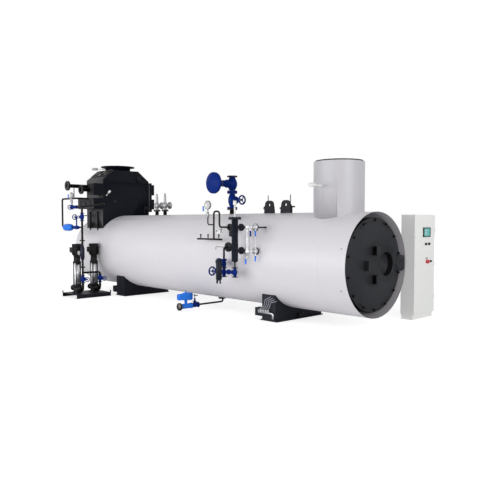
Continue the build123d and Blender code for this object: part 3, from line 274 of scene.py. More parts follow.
def cast(name, colour, roughness):
    """Painted casting: coarse sand grain under the paint, and a slow drift in tone."""
    finish = Finish(name)
    grain = finish.noise(260.0, detail=6.0, roughness=0.7)
    slow = finish.noise(9.0, detail=4.0)
    tone = finish.blend(slow, shade(colour, 0.85), shade(colour, 1.25))
    finish.bump(grain, 0.35, 0.0012)
    gloss = roughness + (grain - 0.5) * 0.2
    return finish.set(Base_Color=tone, Specular_IOR_Level=0.25, Roughness=gloss)


# %% [markdown]
# The cladding is pale coated sheet, rolled round the insulation in hoops. Its tone has
# faint bands that run along the boiler, and each hoop ends in a lap that is just visible:
# a thin line with a slightly different height. The laps could be cut into the mesh, but a
# line worked out from the X coordinate costs no triangles and is the same on every side.


# %% Cladding sheet
def coated_sheet(name, colour, hoop=0.0, lap=0.004):
    """Pale coated cladding sheet, rolled along its length, with laps between hoops."""
    finish = Finish(name)
    rolled = finish.noise(2.2, stretch=(0.08, 1, 1), detail=5.0, roughness=0.55)
    wave = finish.noise(0.9, stretch=(0.5, 1, 1), detail=2.0)
    fine = finish.noise(700.0, detail=2.0)
    tone = finish.blend(rolled, shade(colour, 0.965), shade(colour, 1.035))
    height = fine * 0.15 + wave * 4.0
    if hoop:
        turn = (finish.along("X") + 20.0) / hoop
        part = finish.node("ShaderNodeMath", {"operation": "FRACT"}, Value=turn)
        line = 1.0 - finish.value(part.outputs[0]).above(lap / hoop)
        tone = finish.blend(line * 0.35, tone, shade(colour, 0.5))
        height = height - line * 3.0
    finish.bump(height, 0.12, 0.003)
    return finish.set(Base_Color=tone, Roughness=0.42 + (rolled - 0.5) * 0.16)


# %% [markdown]
# These are the boiler's finishes. Dark paint reflects little, so its gloss is low: with a normal gloss
# the white room would wash its colour out. A few of them are painted light and shade: the lighter
# greys of a casing's lit sides, the navy of its shaded front, the greys of the front skirt's inside
# and rim, and the near black of deep gaps.

# %% The finishes of this boiler
cladding = coated_sheet("cladding_sheet", linear(228, 225, 229), hoop=1.19)
end_cladding = coated_sheet("end_cladding_sheet", linear(228, 225, 229))
stack_cladding = coated_sheet("stack_cladding_sheet", linear(196, 194, 198))
# Painted shade: a darker grey for the inside of the front skirt and near black for its rim.
skirt_inside = painted("skirt_inside_paint", linear(134, 131, 135), 0.55, gloss=0.3)
skirt_edge = painted("skirt_edge_seal", linear(20, 20, 24), 0.6, gloss=0.2)
anthracite = painted("anthracite_paint", linear(24, 25, 34), 0.45, peel=0.2, gloss=0.2)
# Lit and shaded copies of the anthracite: the lighter casing and side greys are painted light, and the
# front navy is painted shade.
lit_casing_grey = painted("casing_grey_paint", linear(82, 81, 83), 0.5, drift=0.12, gloss=0.25)
saddle_paint = painted("saddle_paint", linear(33, 36, 44), 0.45, drift=0.12, peel=0.3, gloss=0.2)
grey_pad_and_lit_side = painted("side_grey_paint", linear(52, 52, 55), 0.5, drift=0.12, gloss=0.25)
panel_grey = painted("panel_grey_paint", linear(128, 125, 124), 0.5, drift=0.12, gloss=0.25)
painted_shade_navy = painted("front_navy_paint", linear(13, 16, 26), 0.5, gloss=0.12)
slate_paint = painted("slate_paint", linear(25, 29, 41), 0.45, gloss=0.2)
black_paint = painted("black_paint", linear(15, 15, 18), 0.45, peel=0.2, gloss=0.25)
# Near black: painted shade on the port's wall, the plate's edge, the nozzle bores and the strap
# openings, and the drain plug's own black.
bore_black = painted("bore_black", linear(6, 6, 7), 0.8, gloss=0.1)
navy_paint = painted("navy_paint", linear(17, 20, 44), 0.45, gloss=0.25)
plate_grey = painted("front_plate_paint", linear(40, 41, 45), 0.6, drift=0.1, peel=0.3, gloss=0.2)
bolt_black = painted("bolt_paint", linear(14, 14, 17), 0.4, gloss=0.2)
bolt_steel = brushed("bolt_steel", linear(104, 102, 100), 0.5, grain=(1, 1, 6))
black_cast = cast("black_casting", linear(17, 17, 19), 0.5)
motor_black = painted("motor_paint", linear(17, 17, 18), 0.4, peel=0.25, gloss=0.25)
dark_blue = painted("dark_blue_paint", linear(4, 40, 122), 0.45, drift=0.12, gloss=0.1)
light_blue = painted("light_blue_paint", linear(20, 120, 236), 0.35, peel=0.2, gloss=0.4)
cabinet_grey = painted("cabinet_powder_coat", linear(247, 248, 245), 0.5, drift=0.02, peel=0.5)
stainless = brushed("stainless_steel", linear(228, 229, 231), 0.32)
satin_steel = brushed("satin_steel", linear(168, 168, 170), 0.5, grain=(1, 1, 8))
pale_steel = brushed("pale_steel", linear(226, 226, 228), 0.55, grain=(1, 1, 8))
zinc = brushed("zinc_coated_sheet", linear(168, 170, 172), 0.45, grain=(1, 12, 1))
tube_steel = brushed("tube_steel", linear(110, 106, 102), 0.5)
tube_grey = painted("drain_tube_paint", linear(158, 160, 170), 0.45, gloss=0.4)
white_plastic = painted("white_plastic", linear(240, 240, 238), 0.5, drift=0.02)
sensor_grey = painted("sensor_grey", linear(190, 190, 190), 0.5, drift=0.05)
black_plastic = painted("black_plastic", linear(18, 18, 20), 0.45, gloss=0.3)
bezel_grey = painted("bezel_grey", linear(64, 72, 74), 0.45, gloss=0.3)
red_plastic = painted("red_plastic", linear(220, 26, 32), 0.3, drift=0.04, coat=0.3)
dial_white = painted("dial_enamel", linear(240, 240, 236), 0.3, drift=0.01, peel=0.05)
gauge_white = painted("gauge_guard", linear(240, 241, 243), 0.35, drift=0.02)
print("finishes:", len(bpy.data.materials))

# %% [markdown]
# ## Where things are
#
# The solids give most places. The few that a box can't give, such as the middle of a valve
# inside a longer node, are named here once, in metres.

# %% Places
axis_height = 1.18
casing_r = 0.96
front_x = 2.015
plate_back_x = front_x - 0.19
plate_face_x = plate_back_x + 0.13
riser_x = -5.86
column_y = -1.2
glass_x = -0.095
standpipe_x = -0.448
level_high_z = 1.85
level_low_z = 1.39
steam_x = -1.84
surface_x = -0.815
surface_y = -1.16
surface_z = 0.948
sample_z = 0.967
pressure_y = -1.1
blowdown_x = -2.17
blowdown_z = 0.11
pump_x = -6.17
pump_rows = (-1.59, -1.1)
pump_valve_z = 0.48
feed_stop_z = 2.087
inlet_nozzle = Vector((-6.62, -1.575, 2.925))
outlet_nozzle = Vector((-6.445, -1.275, 2.83))
pressure_dial = Vector((-1.385, -1.116, 2.308))
feed_dial = Vector((-6.4, -1.606, 2.665))
along_x = (1, 0, 0)
across_y = (0, -1, 0)
up = (0, 0, 1)
down = (0, 0, -1)
body_of_node = {}
for body_name, members in frame["record"]["behaviour"]["bodies"].items():
    for member in members:
        body_of_node[member] = body_name
slot_of_node = {}
for entry in frame["record"]["subparts"]:
    slot_of_node[entry["node"]] = entry["material_slot"]
print("bodies:", sorted(set(body_of_node.values())))

# %% [markdown]
# ## Smooth rounds on the CAD nodes
#
# A CAD node comes as loose triangles, so a pipe looks faceted however fine it is. A copy
# with its points merged can be shaded smooth, while edges sharper than forty degrees stay
# crisp. The copy stands for the node, and some of its faces can get a second finish, which
# is how a valve's black flanges stay one piece with its blue body.


# %% Dressing a node
def smooth(mesh, limit_degrees=40):
    """Shade smooth where faces meet gently, and keep real edges sharp."""
    mesh.polygons.foreach_set("use_smooth", [True] * len(mesh.polygons))
    mesh.set_sharp_from_angle(angle=math.radians(limit_degrees))


def placed(name, mesh, finishes, body):
    """An object for a mesh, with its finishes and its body."""
    if not mesh.materials:
        for finish in finishes:
            mesh.materials.append(finish)
    piece = bpy.data.objects.new(name, mesh)
    bpy.context.scene.collection.objects.link(piece)
    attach(piece, body)
    return piece


def dress(node_name, finish, *patches):
    """Smooth copy of a node. A patch is a finish and a test on a face's middle and normal."""
    form = bmesh.new()
    form.from_mesh(nodes[node_name].data)
    bmesh.ops.remove_doubles(form, verts=form.verts, dist=0.00001)
    for face in form.faces:
        middle = face.calc_center_median()
        for order, (_, belongs) in enumerate(patches):
            if belongs(middle, face.normal):
                face.material_index = order + 1
    mesh = bpy.data.meshes.new(node_name + "_form")
    form.to_mesh(mesh)
    form.free()
    smooth(mesh)
    finishes = [finish] + [patch[0] for patch in patches]
    body, slot = body_of_node[node_name], slot_of_node[node_name]
    piece = placed(node_name + "_dressed", mesh, finishes, body)
    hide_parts(node_name)


# %% [markdown]
# The inside of the front skirt gets a darker grey than its outside, and its rim gets near black: both
# are painted shade. The wall of the front plate's port and the plate's own edge get near black too,
# which is painted shade and keeps them apart from its face. All of them are picked by how far a face
# is from the axis of the boiler or of the port.


# %% Shell and front plate
port_y = 0.395
port_r = 0.22


def from_axis(middle, y=0.0):
    """How far a face is from a line along X at the height of the boiler's axis."""
    return math.hypot(middle.y - y, middle.z - axis_height)


def inside_skirt(middle, normal):
    behind_rim = plate_back_x - 0.07 < middle.x < front_x - 0.001
    return behind_rim and from_axis(middle) < casing_r - 0.006


def skirt_rim(middle, normal):
    return middle.x > front_x - 0.001


def plate_edge(middle, normal):
    return from_axis(middle) > 0.85 and abs(normal.x) < 0.5


def port_wall(middle, normal):
    return port_r - 0.02 < from_axis(middle, port_y) < port_r + 0.005 and abs(normal.x) < 0.5


dress("boiler_casing", cladding, (skirt_inside, inside_skirt), (skirt_edge, skirt_rim))
dress("rear_end", end_cladding)
dress("flue_stub", stack_cladding)
dress("front_plate", plate_grey, (bore_black, plate_edge), (bore_black, port_wall))
print("shell dressed")

# %% [markdown]
# The economizer is one anthracite paint. Its front is dark blue-grey, which is painted shade, and its
# long sides are a warmer, lighter grey, which is painted light, with black ribs; a face gets them by
# the way it looks. The slope of its hood is a light panel with a black frame and zigzag in front, so a
# face is sorted by how far it stands out of the slope.


# %% Economizer patches
eaves_z = 3.125
casing_half = 0.745
rib_top_z = 2.27
slope_rise = Vector((0, 0.275, 0.35)).normalized()


def long_side(middle, normal):
    return abs(normal.y) > 0.5


def side_ribs(middle, normal):
    return abs(middle.y) > casing_half + 0.001 and middle.z < rib_top_z


def front_side(middle, normal):
    return normal.x > 0.5


def in_hood_frame(middle, normal):
    inside = -7.11 < middle.x < -6.34 and middle.z > 3.22
    return inside and abs(normal.y) > 0.3 and normal.z > 0.3


def slope_ribs(middle, normal):
    rise = (middle.z - eaves_z) * slope_rise.z
    run = (casing_half - abs(middle.y)) * slope_rise.y
    return rise - run > 0.003 and middle.z < 3.399


# Painted light on the long sides and painted shade on the front, chosen by the way a face looks.
two_sides = ((grey_pad_and_lit_side, long_side), (painted_shade_navy, front_side))
ribbed_sides = ((lit_casing_grey, long_side), (painted_shade_navy, front_side), (black_paint, side_ribs))
hood_frame = ((panel_grey, in_hood_frame), (black_paint, slope_ribs))
dress("economizer_casing", anthracite, *ribbed_sides)
dress("economizer_hood", anthracite, *two_sides, *hood_frame)
dress("economizer_headers", anthracite, *two_sides)
dress("economizer_outlet", painted_shade_navy)
dress("economizer_tubes", tube_steel)
print("economizer dressed")

# %% [markdown]
# Flanges are picked by where they are: close to the plane of a joint and further out than
# the pipe. Each joint is a point, an axis, a reach along it and the radius of the neck.


# %% Picking flange faces
def at_joints(joints):
    """Test for faces that lie on one of the flanges."""

    def belongs(middle, normal):
        for centre, axis, reach, neck in joints:
            offset = middle - Vector(centre)
            along = offset.dot(Vector(axis))
            away = (offset - along * Vector(axis)).length
            if abs(along) <= reach and neck < away < neck + 0.2:
                return True
        return False

    return belongs


def valve_joints(centre, half, neck):
    """Both flanges of an upright valve."""
    shift = Vector(up) * half
    middle = Vector(centre)
    return [(middle - shift, up, 0.019, neck), (middle + shift, up, 0.019, neck)]


feed_joints = []
for row_y in pump_rows:
    feed_joints += valve_joints((riser_x, row_y, pump_valve_z), 0.105, 0.033)
feed_joints += valve_joints((riser_x, pump_rows[0], feed_stop_z), 0.105, 0.033)
feed_joints += valve_joints((surface_x, surface_y, surface_z), 0.097, 0.03)
feed_joints += valve_joints((standpipe_x, column_y, sample_z), 0.097, 0.03)
steam_top = [((steam_x, 0, 3.0), up, 0.034, 0.064)]
dress("stop_valves", dark_blue, (black_paint, at_joints(feed_joints)))
dress("control_valves", dark_blue, (navy_paint, at_joints(steam_top)))
print("flanges picked:", len(feed_joints) + len(steam_top))

# %% [markdown]
# Some nodes hold things of two kinds, such as a pump's bright stages and their dark tie
# rods, or a dial in its steel case. Each test below finds the faces of the second kind by
# their place. The other way, splitting the node, would break its link to the CAD piece.


# %% Patches of the fittings
def nozzle_face(middle, normal):
    return normal.y < -0.9 and middle.y < -1.2


def nozzle_bore(middle, normal):
    off = [math.hypot(middle.x - at.x, middle.z - at.z) for at in (inlet_nozzle, outlet_nozzle)]
    return min(off) < 0.07 and middle.y < -1.2


def on_dial(middle, normal):
    for centre in (pressure_dial, feed_dial):
        away = math.hypot(middle.x - centre.x, middle.z - centre.z)
        if normal.y < -0.9 and abs(middle.y - centre.y) < 0.002 and away < 0.09:
            return True
    return False


def check_valve(middle, normal):
    away = math.hypot(middle.x - riser_x, middle.y - pump_rows[0])
    return 0.8 < middle.z < 1.47 and 0.028 < away < 0.2


def thermometer(middle, normal):
    return middle.x < surface_x - 0.03 and middle.z > 1.3


def blowdown_end(middle, normal):
    return middle.y < -1.238 and middle.z < 0.2


def blowdown_bore(middle, normal):
    away = math.hypot(middle.x - blowdown_x, middle.z - blowdown_z)
    return middle.y < -1.2 and away < 0.05


def tie_rods(middle, normal):
    away = [math.hypot(middle.x - pump_x, middle.y - row_y) for row_y in pump_rows]
    return min(away) > 0.0845


def feed_actuator(middle, normal):
    return middle.x < -4.0


def outlet_sensor(middle, normal):
    return middle.z > 3.3


blowdown_patches = ((black_paint, blowdown_end), (tube_steel, blowdown_bore))
dress("quick_blowdown_valve", light_blue, *blowdown_patches)
dress("valve_actuators", dark_blue, (light_blue, feed_actuator))
dress("sample_cooler", slate_paint, (tube_steel, thermometer))
dress("pump_stages", stainless, (black_paint, tie_rods))
dress("probe_heads", white_plastic, (sensor_grey, outlet_sensor))
dress("pressure_gauge", satin_steel, (dial_white, on_dial))
dress("feed_riser", black_paint, (navy_paint, check_valve))
# The flange faces that look along -Y get the lit side grey, which is painted light, and the bores near
# black, which is painted shade.
dress("water_nozzles", black_paint, (grey_pad_and_lit_side, nozzle_face), (bore_black, nozzle_bore))
print("fittings with two finishes dressed")

# %% [markdown]
# Every other round node is dressed from a list of finishes. Flat ones, such as the saddles
# and the cabinet, have no rounds to smooth, so they stay as they are and get a finish only.

# %% Plain nodes
plain_dress = {
    "rear_cover": anthracite,
    "flue_flange": anthracite,
    "pump_castings": black_cast,
    "pump_motors": motor_black,
    "feed_loop_pipe": black_paint,
    "shell_nozzles": black_paint,
    "steam_stop_valve": dark_blue,
    "safety_valves": satin_steel,
    "level_standpipe": slate_paint,
    "gauge_glass_cocks": pale_steel,
    "gauge_glass": gauge_white,
    "pressure_manifold": black_paint,
    "blowdown_pipe": black_paint,
    "blowdown_valve": dark_blue,
    "drain_cocks": stainless,
    "emergency_button": red_plastic,
}
wheel_nodes = [name for name in nodes if name.endswith("handwheel")]
for wheel_name in wheel_nodes:
    plain_dress[wheel_name] = dark_blue
for node_name, finish in plain_dress.items():
    dress(node_name, finish)
flat_finish = {
    "front_plate_straps": plate_grey,
    "front_saddle": saddle_paint,
    "front_plate_bolts": bolt_black,
    "mounting_plate": zinc,
    "cabinet_body": cabinet_grey,
    "cabinet_door": cabinet_grey,
    "door_controls": black_plastic,
}
for node_name, node in nodes.items():
    node.data.materials.clear()
    node.data.materials.append(flat_finish.get(node_name, anthracite))
print("plain nodes dressed:", len(plain_dress), "of", len(nodes))

# %% [markdown]
# ## A bench for small hand-made pieces
#
# Levers, sensors and rims are made from turned shapes, blocks and bent rods. They could be
# made with Blender's operators, but those depend on what is selected. One class collects
# them in a single mesh instead, and a narrow bevel at the end catches the light on their
# edges. A turned shape is a list of radius and height pairs, swung round an axis.


# %% Hand-made shapes
def circle_of(axis, count, turn=0.0):
    """Directions across an axis, spread evenly round it."""
    ahead = Vector(axis).normalized()
    helper = Vector(up) if abs(ahead.z) < 0.9 else Vector(along_x)
    across = ahead.cross(helper).normalized()
    third = ahead.cross(across)
    angles = [2 * math.pi * (step + turn) / count for step in range(count)]
    return [across * math.cos(angle) + third * math.sin(angle) for angle in angles]


class Shape:
    """A mesh that grows piece by piece."""

    def __init__(self):
        self.form = bmesh.new()

    def band(self, low, high):
        """Faces between two loops of points."""
        for step in range(len(low)):
            after = (step + 1) % len(low)
            self.form.faces.new((low[step], low[after], high[after], high[step]))

    def turned(self, place, axis, outline, steps=20):
        """Close a turned outline round an axis, from the first pair to the last."""
        ahead = Vector(axis).normalized()
        rings = []
        for radius, height in outline:
            middle = Vector(place) + ahead * height
            spots = [middle + out * radius for out in circle_of(axis, steps)]
            rings.append([self.form.verts.new(spot) for spot in spots])
        for low, high in zip(rings, rings[1:]):
            self.band(low, high)
        self.form.faces.new(rings[0][::-1])
        self.form.faces.new(rings[-1])

    def ring(self, place, axis, radius, thickness, steps=36, sides=8):
        """Round ring, like a handwheel's rim."""
        ahead = Vector(axis).normalized()
        leans = [2 * math.pi * side / sides for side in range(sides)]
        loops = []
        for out in circle_of(axis, steps):
            loop = []
            for lean in leans:
                reach = radius + thickness * math.cos(lean)
                spot = Vector(place) + out * reach + ahead * thickness * math.sin(lean)
                loop.append(self.form.verts.new(spot))
            loops.append(loop)
        for here, after in zip(loops, loops[1:] + loops[:1]):
            self.band(here, after)

    def block(self, low, high, turn=None):
        """Block between two corners, turned by a matrix about its middle if one is given."""
        middle = (Vector(low) + Vector(high)) / 2
        scale = Matrix.Diagonal((*(Vector(high) - Vector(low)), 1.0))
        place = Matrix.Translation(middle) @ (turn or Matrix.Identity(4)) @ scale
        bmesh.ops.create_cube(self.form, size=1.0, matrix=place)

    def rod(self, points, radius):
        """Bent rod through a list of points, with its corners rounded."""
        curve = bpy.data.curves.new("rod", "CURVE")
        curve.dimensions = "3D"
        curve.bevel_depth = radius
        curve.bevel_resolution = 2
        curve.resolution_u = 5
        curve.use_fill_caps = True
        line = curve.splines.new("NURBS")
        line.points.add(len(points) - 1)
        for point, place in zip(line.points, points):
            point.co = (*place, 1.0)
        line.order_u = 3
        line.use_endpoint_u = True
        self.take(curve)

    def take(self, data, move=None):
        """Add a curve or a text as a mesh, moved by a matrix if one is given."""
        carrier = bpy.data.objects.new("carrier", data)
        mesh = bpy.data.meshes.new_from_object(carrier)
        mesh.transform(move or Matrix.Identity(4))
        self.form.from_mesh(mesh)
        bpy.data.objects.remove(carrier)
        bpy.data.meshes.remove(mesh)

    def piece(self, name, finish, slot, body="boiler", bevel=0.0):
        """Turn what was collected into a piece of the boiler."""
        mesh = bpy.data.meshes.new(name)
        bmesh.ops.recalc_face_normals(self.form, faces=self.form.faces)
        if bevel:
            sharp = [e for e in self.form.edges if e.is_manifold and e.calc_face_angle() > 0.7]
            bmesh.ops.bevel(
                self.form, geom=sharp, offset=bevel, segments=2, affect="EDGES", clamp_overlap=True
            )
        self.form.to_mesh(mesh)
        self.form.free()
        smooth(mesh)
        print(name, len(mesh.polygons), "faces")
        return placed(name, mesh, [finish], body)


# %% [markdown]
# ## Things that repeat
#
# Bolts, cooling fins and beads are one shape many times. They could be copied in a loop,
# but a Geometry Nodes tree keeps one shape and puts it on points, which is quick and easy
# to change. Every tree here starts with named inputs and ends in the same way: the shape
# on each point, made real, with its finish.


# %% How a tree starts and ends
def started(name, *numbers):
    """A new tree with its inputs, which are numbers, a count and a finish."""
    tree = bpy.data.node_groups.new(name, "GeometryNodeTree")
    inputs = [("Geometry", "Geometry"), ("Count", "Int"), ("Finish", "Material")]
    for label, kind in inputs + [(number, "Float") for number in numbers]:
        tree.interface.new_socket(label, in_out="INPUT", socket_type="NodeSocket" + kind)
    tree.interface.new_socket("Geometry", in_out="OUTPUT", socket_type="NodeSocketGeometry")
    graph = Graph(tree)
    return graph, graph.node("NodeGroupInput").outputs


def ended(graph, given, points, shape, **turn_and_scale):
    """Put the shape on the points, make the copies real and give them their finish."""
    spread = graph.node(
        "GeometryNodeInstanceOnPoints", Points=points, Instance=shape, **turn_and_scale
    )
    real = graph.node("GeometryNodeRealizeInstances", Geometry=spread.outputs[0])
    finished = graph.node(
        "GeometryNodeSetMaterial", Geometry=real.outputs[0], Material=given["Finish"]
    )
    graph.node("NodeGroupOutput", Geometry=finished.outputs[0])
    return graph.tree


def evaluated(name, base_mesh, tree, settings):
    """Run a tree on a mesh and keep the plain mesh that it makes."""
    carrier = bpy.data.objects.new(name + "_points", base_mesh)
    bpy.context.scene.collection.objects.link(carrier)
    modifier = carrier.modifiers.new("tree", "NODES")
    modifier.node_group = tree
    for item in tree.interface.items_tree:
        if item.item_type == "SOCKET" and item.in_out == "INPUT" and item.name in settings:
            modifier[item.identifier] = settings[item.name]
    graph = bpy.context.evaluated_depsgraph_get()
    mesh = bpy.data.meshes.new_from_object(carrier.evaluated_get(graph))
    bpy.data.objects.remove(carrier)
    mesh.name = name
    return mesh


# %% [markdown]
# Every flanged joint has a ring of hexagon bolts. The tree puts a head with a washer below
# it on each point, turned along the direction that is stored on that point, so a whole
# boiler's bolts are one tree and one mesh.


# %% The tree that places heads
def bolt_tree():
    """Heads on points: a hexagon head with a washer below it, turned along 'facing'."""
    graph, given = started("bolt_heads", "Head radius", "Head height")
    radius = graph.value(given["Head radius"])
    height = graph.value(given["Head height"])
    washer_height = height * 0.5
    head = graph.node("GeometryNodeMeshCylinder", Vertices=6, Radius=radius, Depth=height)
    washer = graph.node(
        "GeometryNodeMeshCylinder", Vertices=12, Radius=radius * 1.28, Depth=washer_height
    )
    lift = graph.node("ShaderNodeCombineXYZ", Z=washer_height)
    raised = graph.node(
        "GeometryNodeTransform", Geometry=head.outputs["Mesh"], Translation=lift.outputs[0]
    )
    both = graph.node("GeometryNodeJoinGeometry", Geometry=washer.outputs["Mesh"])
    graph.feed(both.inputs[0], raised.outputs[0])
    stored = "GeometryNodeInputNamedAttribute"
    facing = graph.node(stored, {"data_type": "FLOAT_VECTOR"}, Name="facing")
    width = graph.node(stored, {"data_type": "FLOAT"}, Name="width")
    turn = graph.node(
        "FunctionNodeAlignRotationToVector", {"axis": "Z"}, Vector=facing.outputs["Attribute"]
    )
    return ended(
        graph,
        given,
        given["Geometry"],
        both.outputs[0],
        Rotation=turn.outputs[0],
        Scale=width.outputs["Attribute"],
    )


class BoltPoints:
    """Points with a facing and a width, for the tree above."""

    def __init__(self):
        self.places = []
        self.facings = []
        self.widths = []

    def one(self, place, axis, width):
        """One head that faces along an axis."""
        self.places.append(tuple(place))
        self.facings.append(Vector(axis).normalized())
        self.widths.append(width)

    def ring(self, centre, axis, radius, count, width=1.0):
        """One ring of heads facing along the axis."""
        for out in circle_of(axis, count, 0.5):
            self.one(Vector(centre) + out * radius, axis, width)

    def joint(self, centre, axis, half, radius, count, width=1.0):
        """Heads on both outer faces of a pair of flanges."""
        for ahead in (Vector(axis), -Vector(axis)):
            self.ring(Vector(centre) + ahead * half, ahead, radius, count, width)

    def piece(self, name, finish, head_radius, head_height):
        """Run the tree on the points. Each attribute is filled before the next is made."""
        mesh = bpy.data.meshes.new(name + "_points")
        mesh.from_pydata(self.places, [], [])
        facing = mesh.attributes.new("facing", "FLOAT_VECTOR", "POINT")
        for item, vector in zip(facing.data, self.facings):
            item.vector = vector
        width = mesh.attributes.new("width", "FLOAT", "POINT")
        for item, amount in zip(width.data, self.widths):
            item.value = amount
        settings = {"Head radius": head_radius, "Head height": head_height, "Finish": finish}
        made = evaluated(name, mesh, heads, settings)
        print(name, len(self.places), "heads")
        return placed(name, made, [finish], "boiler")


heads = bolt_tree()

# %% [markdown]
# The bolts of one joint stand on a circle. Heads show on both sides of a pair of flanges,
# so each ring is laid twice, facing away from the joint. Where only one face can be seen,
# one ring is enough. First come the crown, the level gauge and the surface blowdown.

# %% Flange bolts
steel = BoltPoints()
for joint_z in (2.265, 2.631):
    steel.joint((steam_x, 0, joint_z), up, 0.03, 0.09, 8, 0.9)
for safety_x in (-4.79, -4.43):
    steel.joint((safety_x, 0, 2.262), up, 0.022, 0.066, 4, 0.7)
    steel.ring((safety_x, 0.16, 2.388), (0, 1, 0), 0.07, 4, 0.7)
for electrode_x in (-0.946, -0.294):
    steel.ring((electrode_x, 0.25, 2.291), up, 0.078, 8, 0.7)
steel.ring((standpipe_x, column_y, 2.05), up, 0.102, 8, 0.85)
for level_z in (level_high_z, level_low_z):
    steel.joint((standpipe_x, -1.03, level_z), across_y, 0.02, 0.057, 4, 0.6)
    steel.joint((glass_x, -0.987, level_z), across_y, 0.018, 0.057, 4, 0.6)
steel.joint((-0.83, -0.982, level_high_z), across_y, 0.018, 0.057, 4, 0.6)
steel.joint((surface_x, -1.04, 1.45), across_y, 0.02, 0.078, 8, 0.65)
print("bolts so far:", len(steel.places))

# %% [markdown]
# The feed group has smaller joints, and its pumps are bolted down at four corners. All of
# these go in the same set of points, so the tree runs once.

# %% Feed side and blowdown bolts
for row_y in pump_rows:
    for end in (-1, 1):
        steel.ring((pump_x + end * 0.201, row_y, 0.215), (-end, 0, 0), 0.062, 4, 0.6)
    steel.joint((riser_x, row_y, pump_valve_z), up, 0.089, 0.048, 4, 0.55)
    for side_x in (-0.08, 0.08):
        for side_y in (-0.07, 0.07):
            steel.one((pump_x + side_x, row_y + side_y, 0.125), up, 0.6)
steel.joint((riser_x, pump_rows[0], feed_stop_z), up, 0.089, 0.045, 4, 0.55)
for joint_z in (0.785, 1.48):
    steel.joint((riser_x, pump_rows[0], joint_z), up, 0.013, 0.05, 4, 0.55)
steel.joint((surface_x, surface_y, surface_z), up, 0.083, 0.046, 4, 0.55)
steel.ring((blowdown_x, -1.239, blowdown_z), (0, 1, 0), 0.07, 4, 0.7)
steel.ring(inlet_nozzle, across_y, 0.105, 8, 0.9)
steel.ring(outlet_nozzle, across_y, 0.1, 8, 0.9)
steel.joint((blowdown_x, -0.93, blowdown_z), across_y, 0.016, 0.05, 4, 0.55)
flange_bolts = steel.piece("flange_bolts", bolt_steel, 0.012, 0.01)
smooth(flange_bolts.data)

# %% [markdown]
# ## The front plate
#
# The solid has its fourteen big heads. On the real plate each carries a washer, and two jacking screws
# stand beside the upper and the lower bolts, which the same tree makes. The upper and lower straps are
# dark inside, and a thin near-black block in front of the solid paints in that shade.

# %% Front plate screws
plate_points = BoltPoints()


def on_plate(angle, radius, lift):
    """A place on the face of the front plate."""
    side, height = radius * math.cos(angle), radius * math.sin(angle)
    return (plate_face_x + lift, side, axis_height + height)


for degrees in (58, 70, 110, 122, 238, 250, 290, 302):
    plate_points.one(on_plate(math.radians(degrees), 0.80, 0.002), along_x, 1.0)
for step in range(14):
    angle = math.pi / 14 + 2 * math.pi * step / 14
    plate_points.one(on_plate(angle, 0.814, 0.021), along_x, 1.25)
plate_points.piece("front_plate_screws", bolt_black, 0.013, 0.012)
# Painted shade: a near-black block on each of the upper and lower straps.
opening_shade = Shape()
for side in (-1, 1):
    strap_z = axis_height + side * 0.258
    opening_shade.block((plate_face_x + 0.001, -0.05, strap_z - 0.069), (2.03, 0.05, strap_z + 0.069))
opening_shade.piece("strap_opening_shade", bore_black, "front_plate")

# %% [markdown]
# ## Cooling fins and stage bands
#
# A pump motor is cooled by thin fins that stand round it like rays. The stack below it is
# a pile of stainless stages, each with a rolled bead. Both are one thing repeated, round a
# circle or up a line, so each is a short tree with named sizes.


# %% Fins and beads
def fin_tree():
    """A thin plate on every point of a circle, turned outwards."""
    graph, given = started("fins", "Radius", "Length", "Depth", "Thickness")
    circle = graph.node(
        "GeometryNodeMeshCircle", Vertices=given["Count"], Radius=given["Radius"]
    )
    size = graph.node(
        "ShaderNodeCombineXYZ", X=given["Depth"], Y=given["Thickness"], Z=given["Length"]
    )
    fin = graph.node("GeometryNodeMeshCube", Size=size.outputs[0])
    place = graph.node("GeometryNodeInputPosition")
    turn = graph.node(
        "FunctionNodeAlignRotationToVector", {"axis": "X"}, Vector=place.outputs[0]
    )
    points, shape = circle.outputs["Mesh"], fin.outputs["Mesh"]
    return ended(graph, given, points, shape, Rotation=turn.outputs[0])


def bead_tree():
    """A round bead on every point of an upright line."""
    graph, given = started("beads", "Radius", "Step", "Thickness")
    step = graph.node("ShaderNodeCombineXYZ", Z=given["Step"])
    line = graph.node("GeometryNodeMeshLine", Count=given["Count"], Offset=step.outputs[0])
    circle = "GeometryNodeCurvePrimitiveCircle"
    path = graph.node(circle, Resolution=32, Radius=given["Radius"])
    section = graph.node(circle, Resolution=8, Radius=given["Thickness"])
    bead = graph.node(
        "GeometryNodeCurveToMesh",
        Curve=path.outputs["Curve"],
        Profile_Curve=section.outputs["Curve"],
    )
    return ended(graph, given, line.outputs["Mesh"], bead.outputs["Mesh"])


def on_both_pumps(name, tree, height, settings):
    """The same repeat on both pumps, kept as one mesh."""
    form = bmesh.new()
    for row_y in pump_rows:
        mesh = evaluated(name, bpy.data.meshes.new("empty"), tree, settings)
        mesh.transform(Matrix.Translation((pump_x, row_y, height)))
        form.from_mesh(mesh)
        bpy.data.meshes.remove(mesh)
    bmesh.ops.recalc_face_normals(form, faces=form.faces)
    mesh = bpy.data.meshes.new(name)
    form.to_mesh(mesh)
    form.free()
    smooth(mesh)
    print(name, len(mesh.polygons), "faces")
    placed(name, mesh, [settings["Finish"]], "boiler")


fin_sizes = {"Radius": 0.117, "Length": 0.2, "Depth": 0.016, "Thickness": 0.004}
bead_sizes = {"Radius": 0.0838, "Step": 0.054, "Thickness": 0.0024}
fin_settings = {**fin_sizes, "Count": 36, "Finish": motor_black}
bead_settings = {**bead_sizes, "Count": 10, "Finish": stainless}
on_both_pumps("motor_fins", fin_tree(), 1.2, fin_settings)
on_both_pumps("stage_beads", bead_tree(), 0.345, bead_settings)

# %% [markdown]
# ## Tie rods and the rest of the pumps
#
# The stages are clamped by tie rods, which look almost black beside the bright steel. Nuts
# close their ends, a fan cover sits on each motor, two glands hang below its terminal box,
# and the nearer motor carries a bare oval plate, which is a disc stretched upwards.

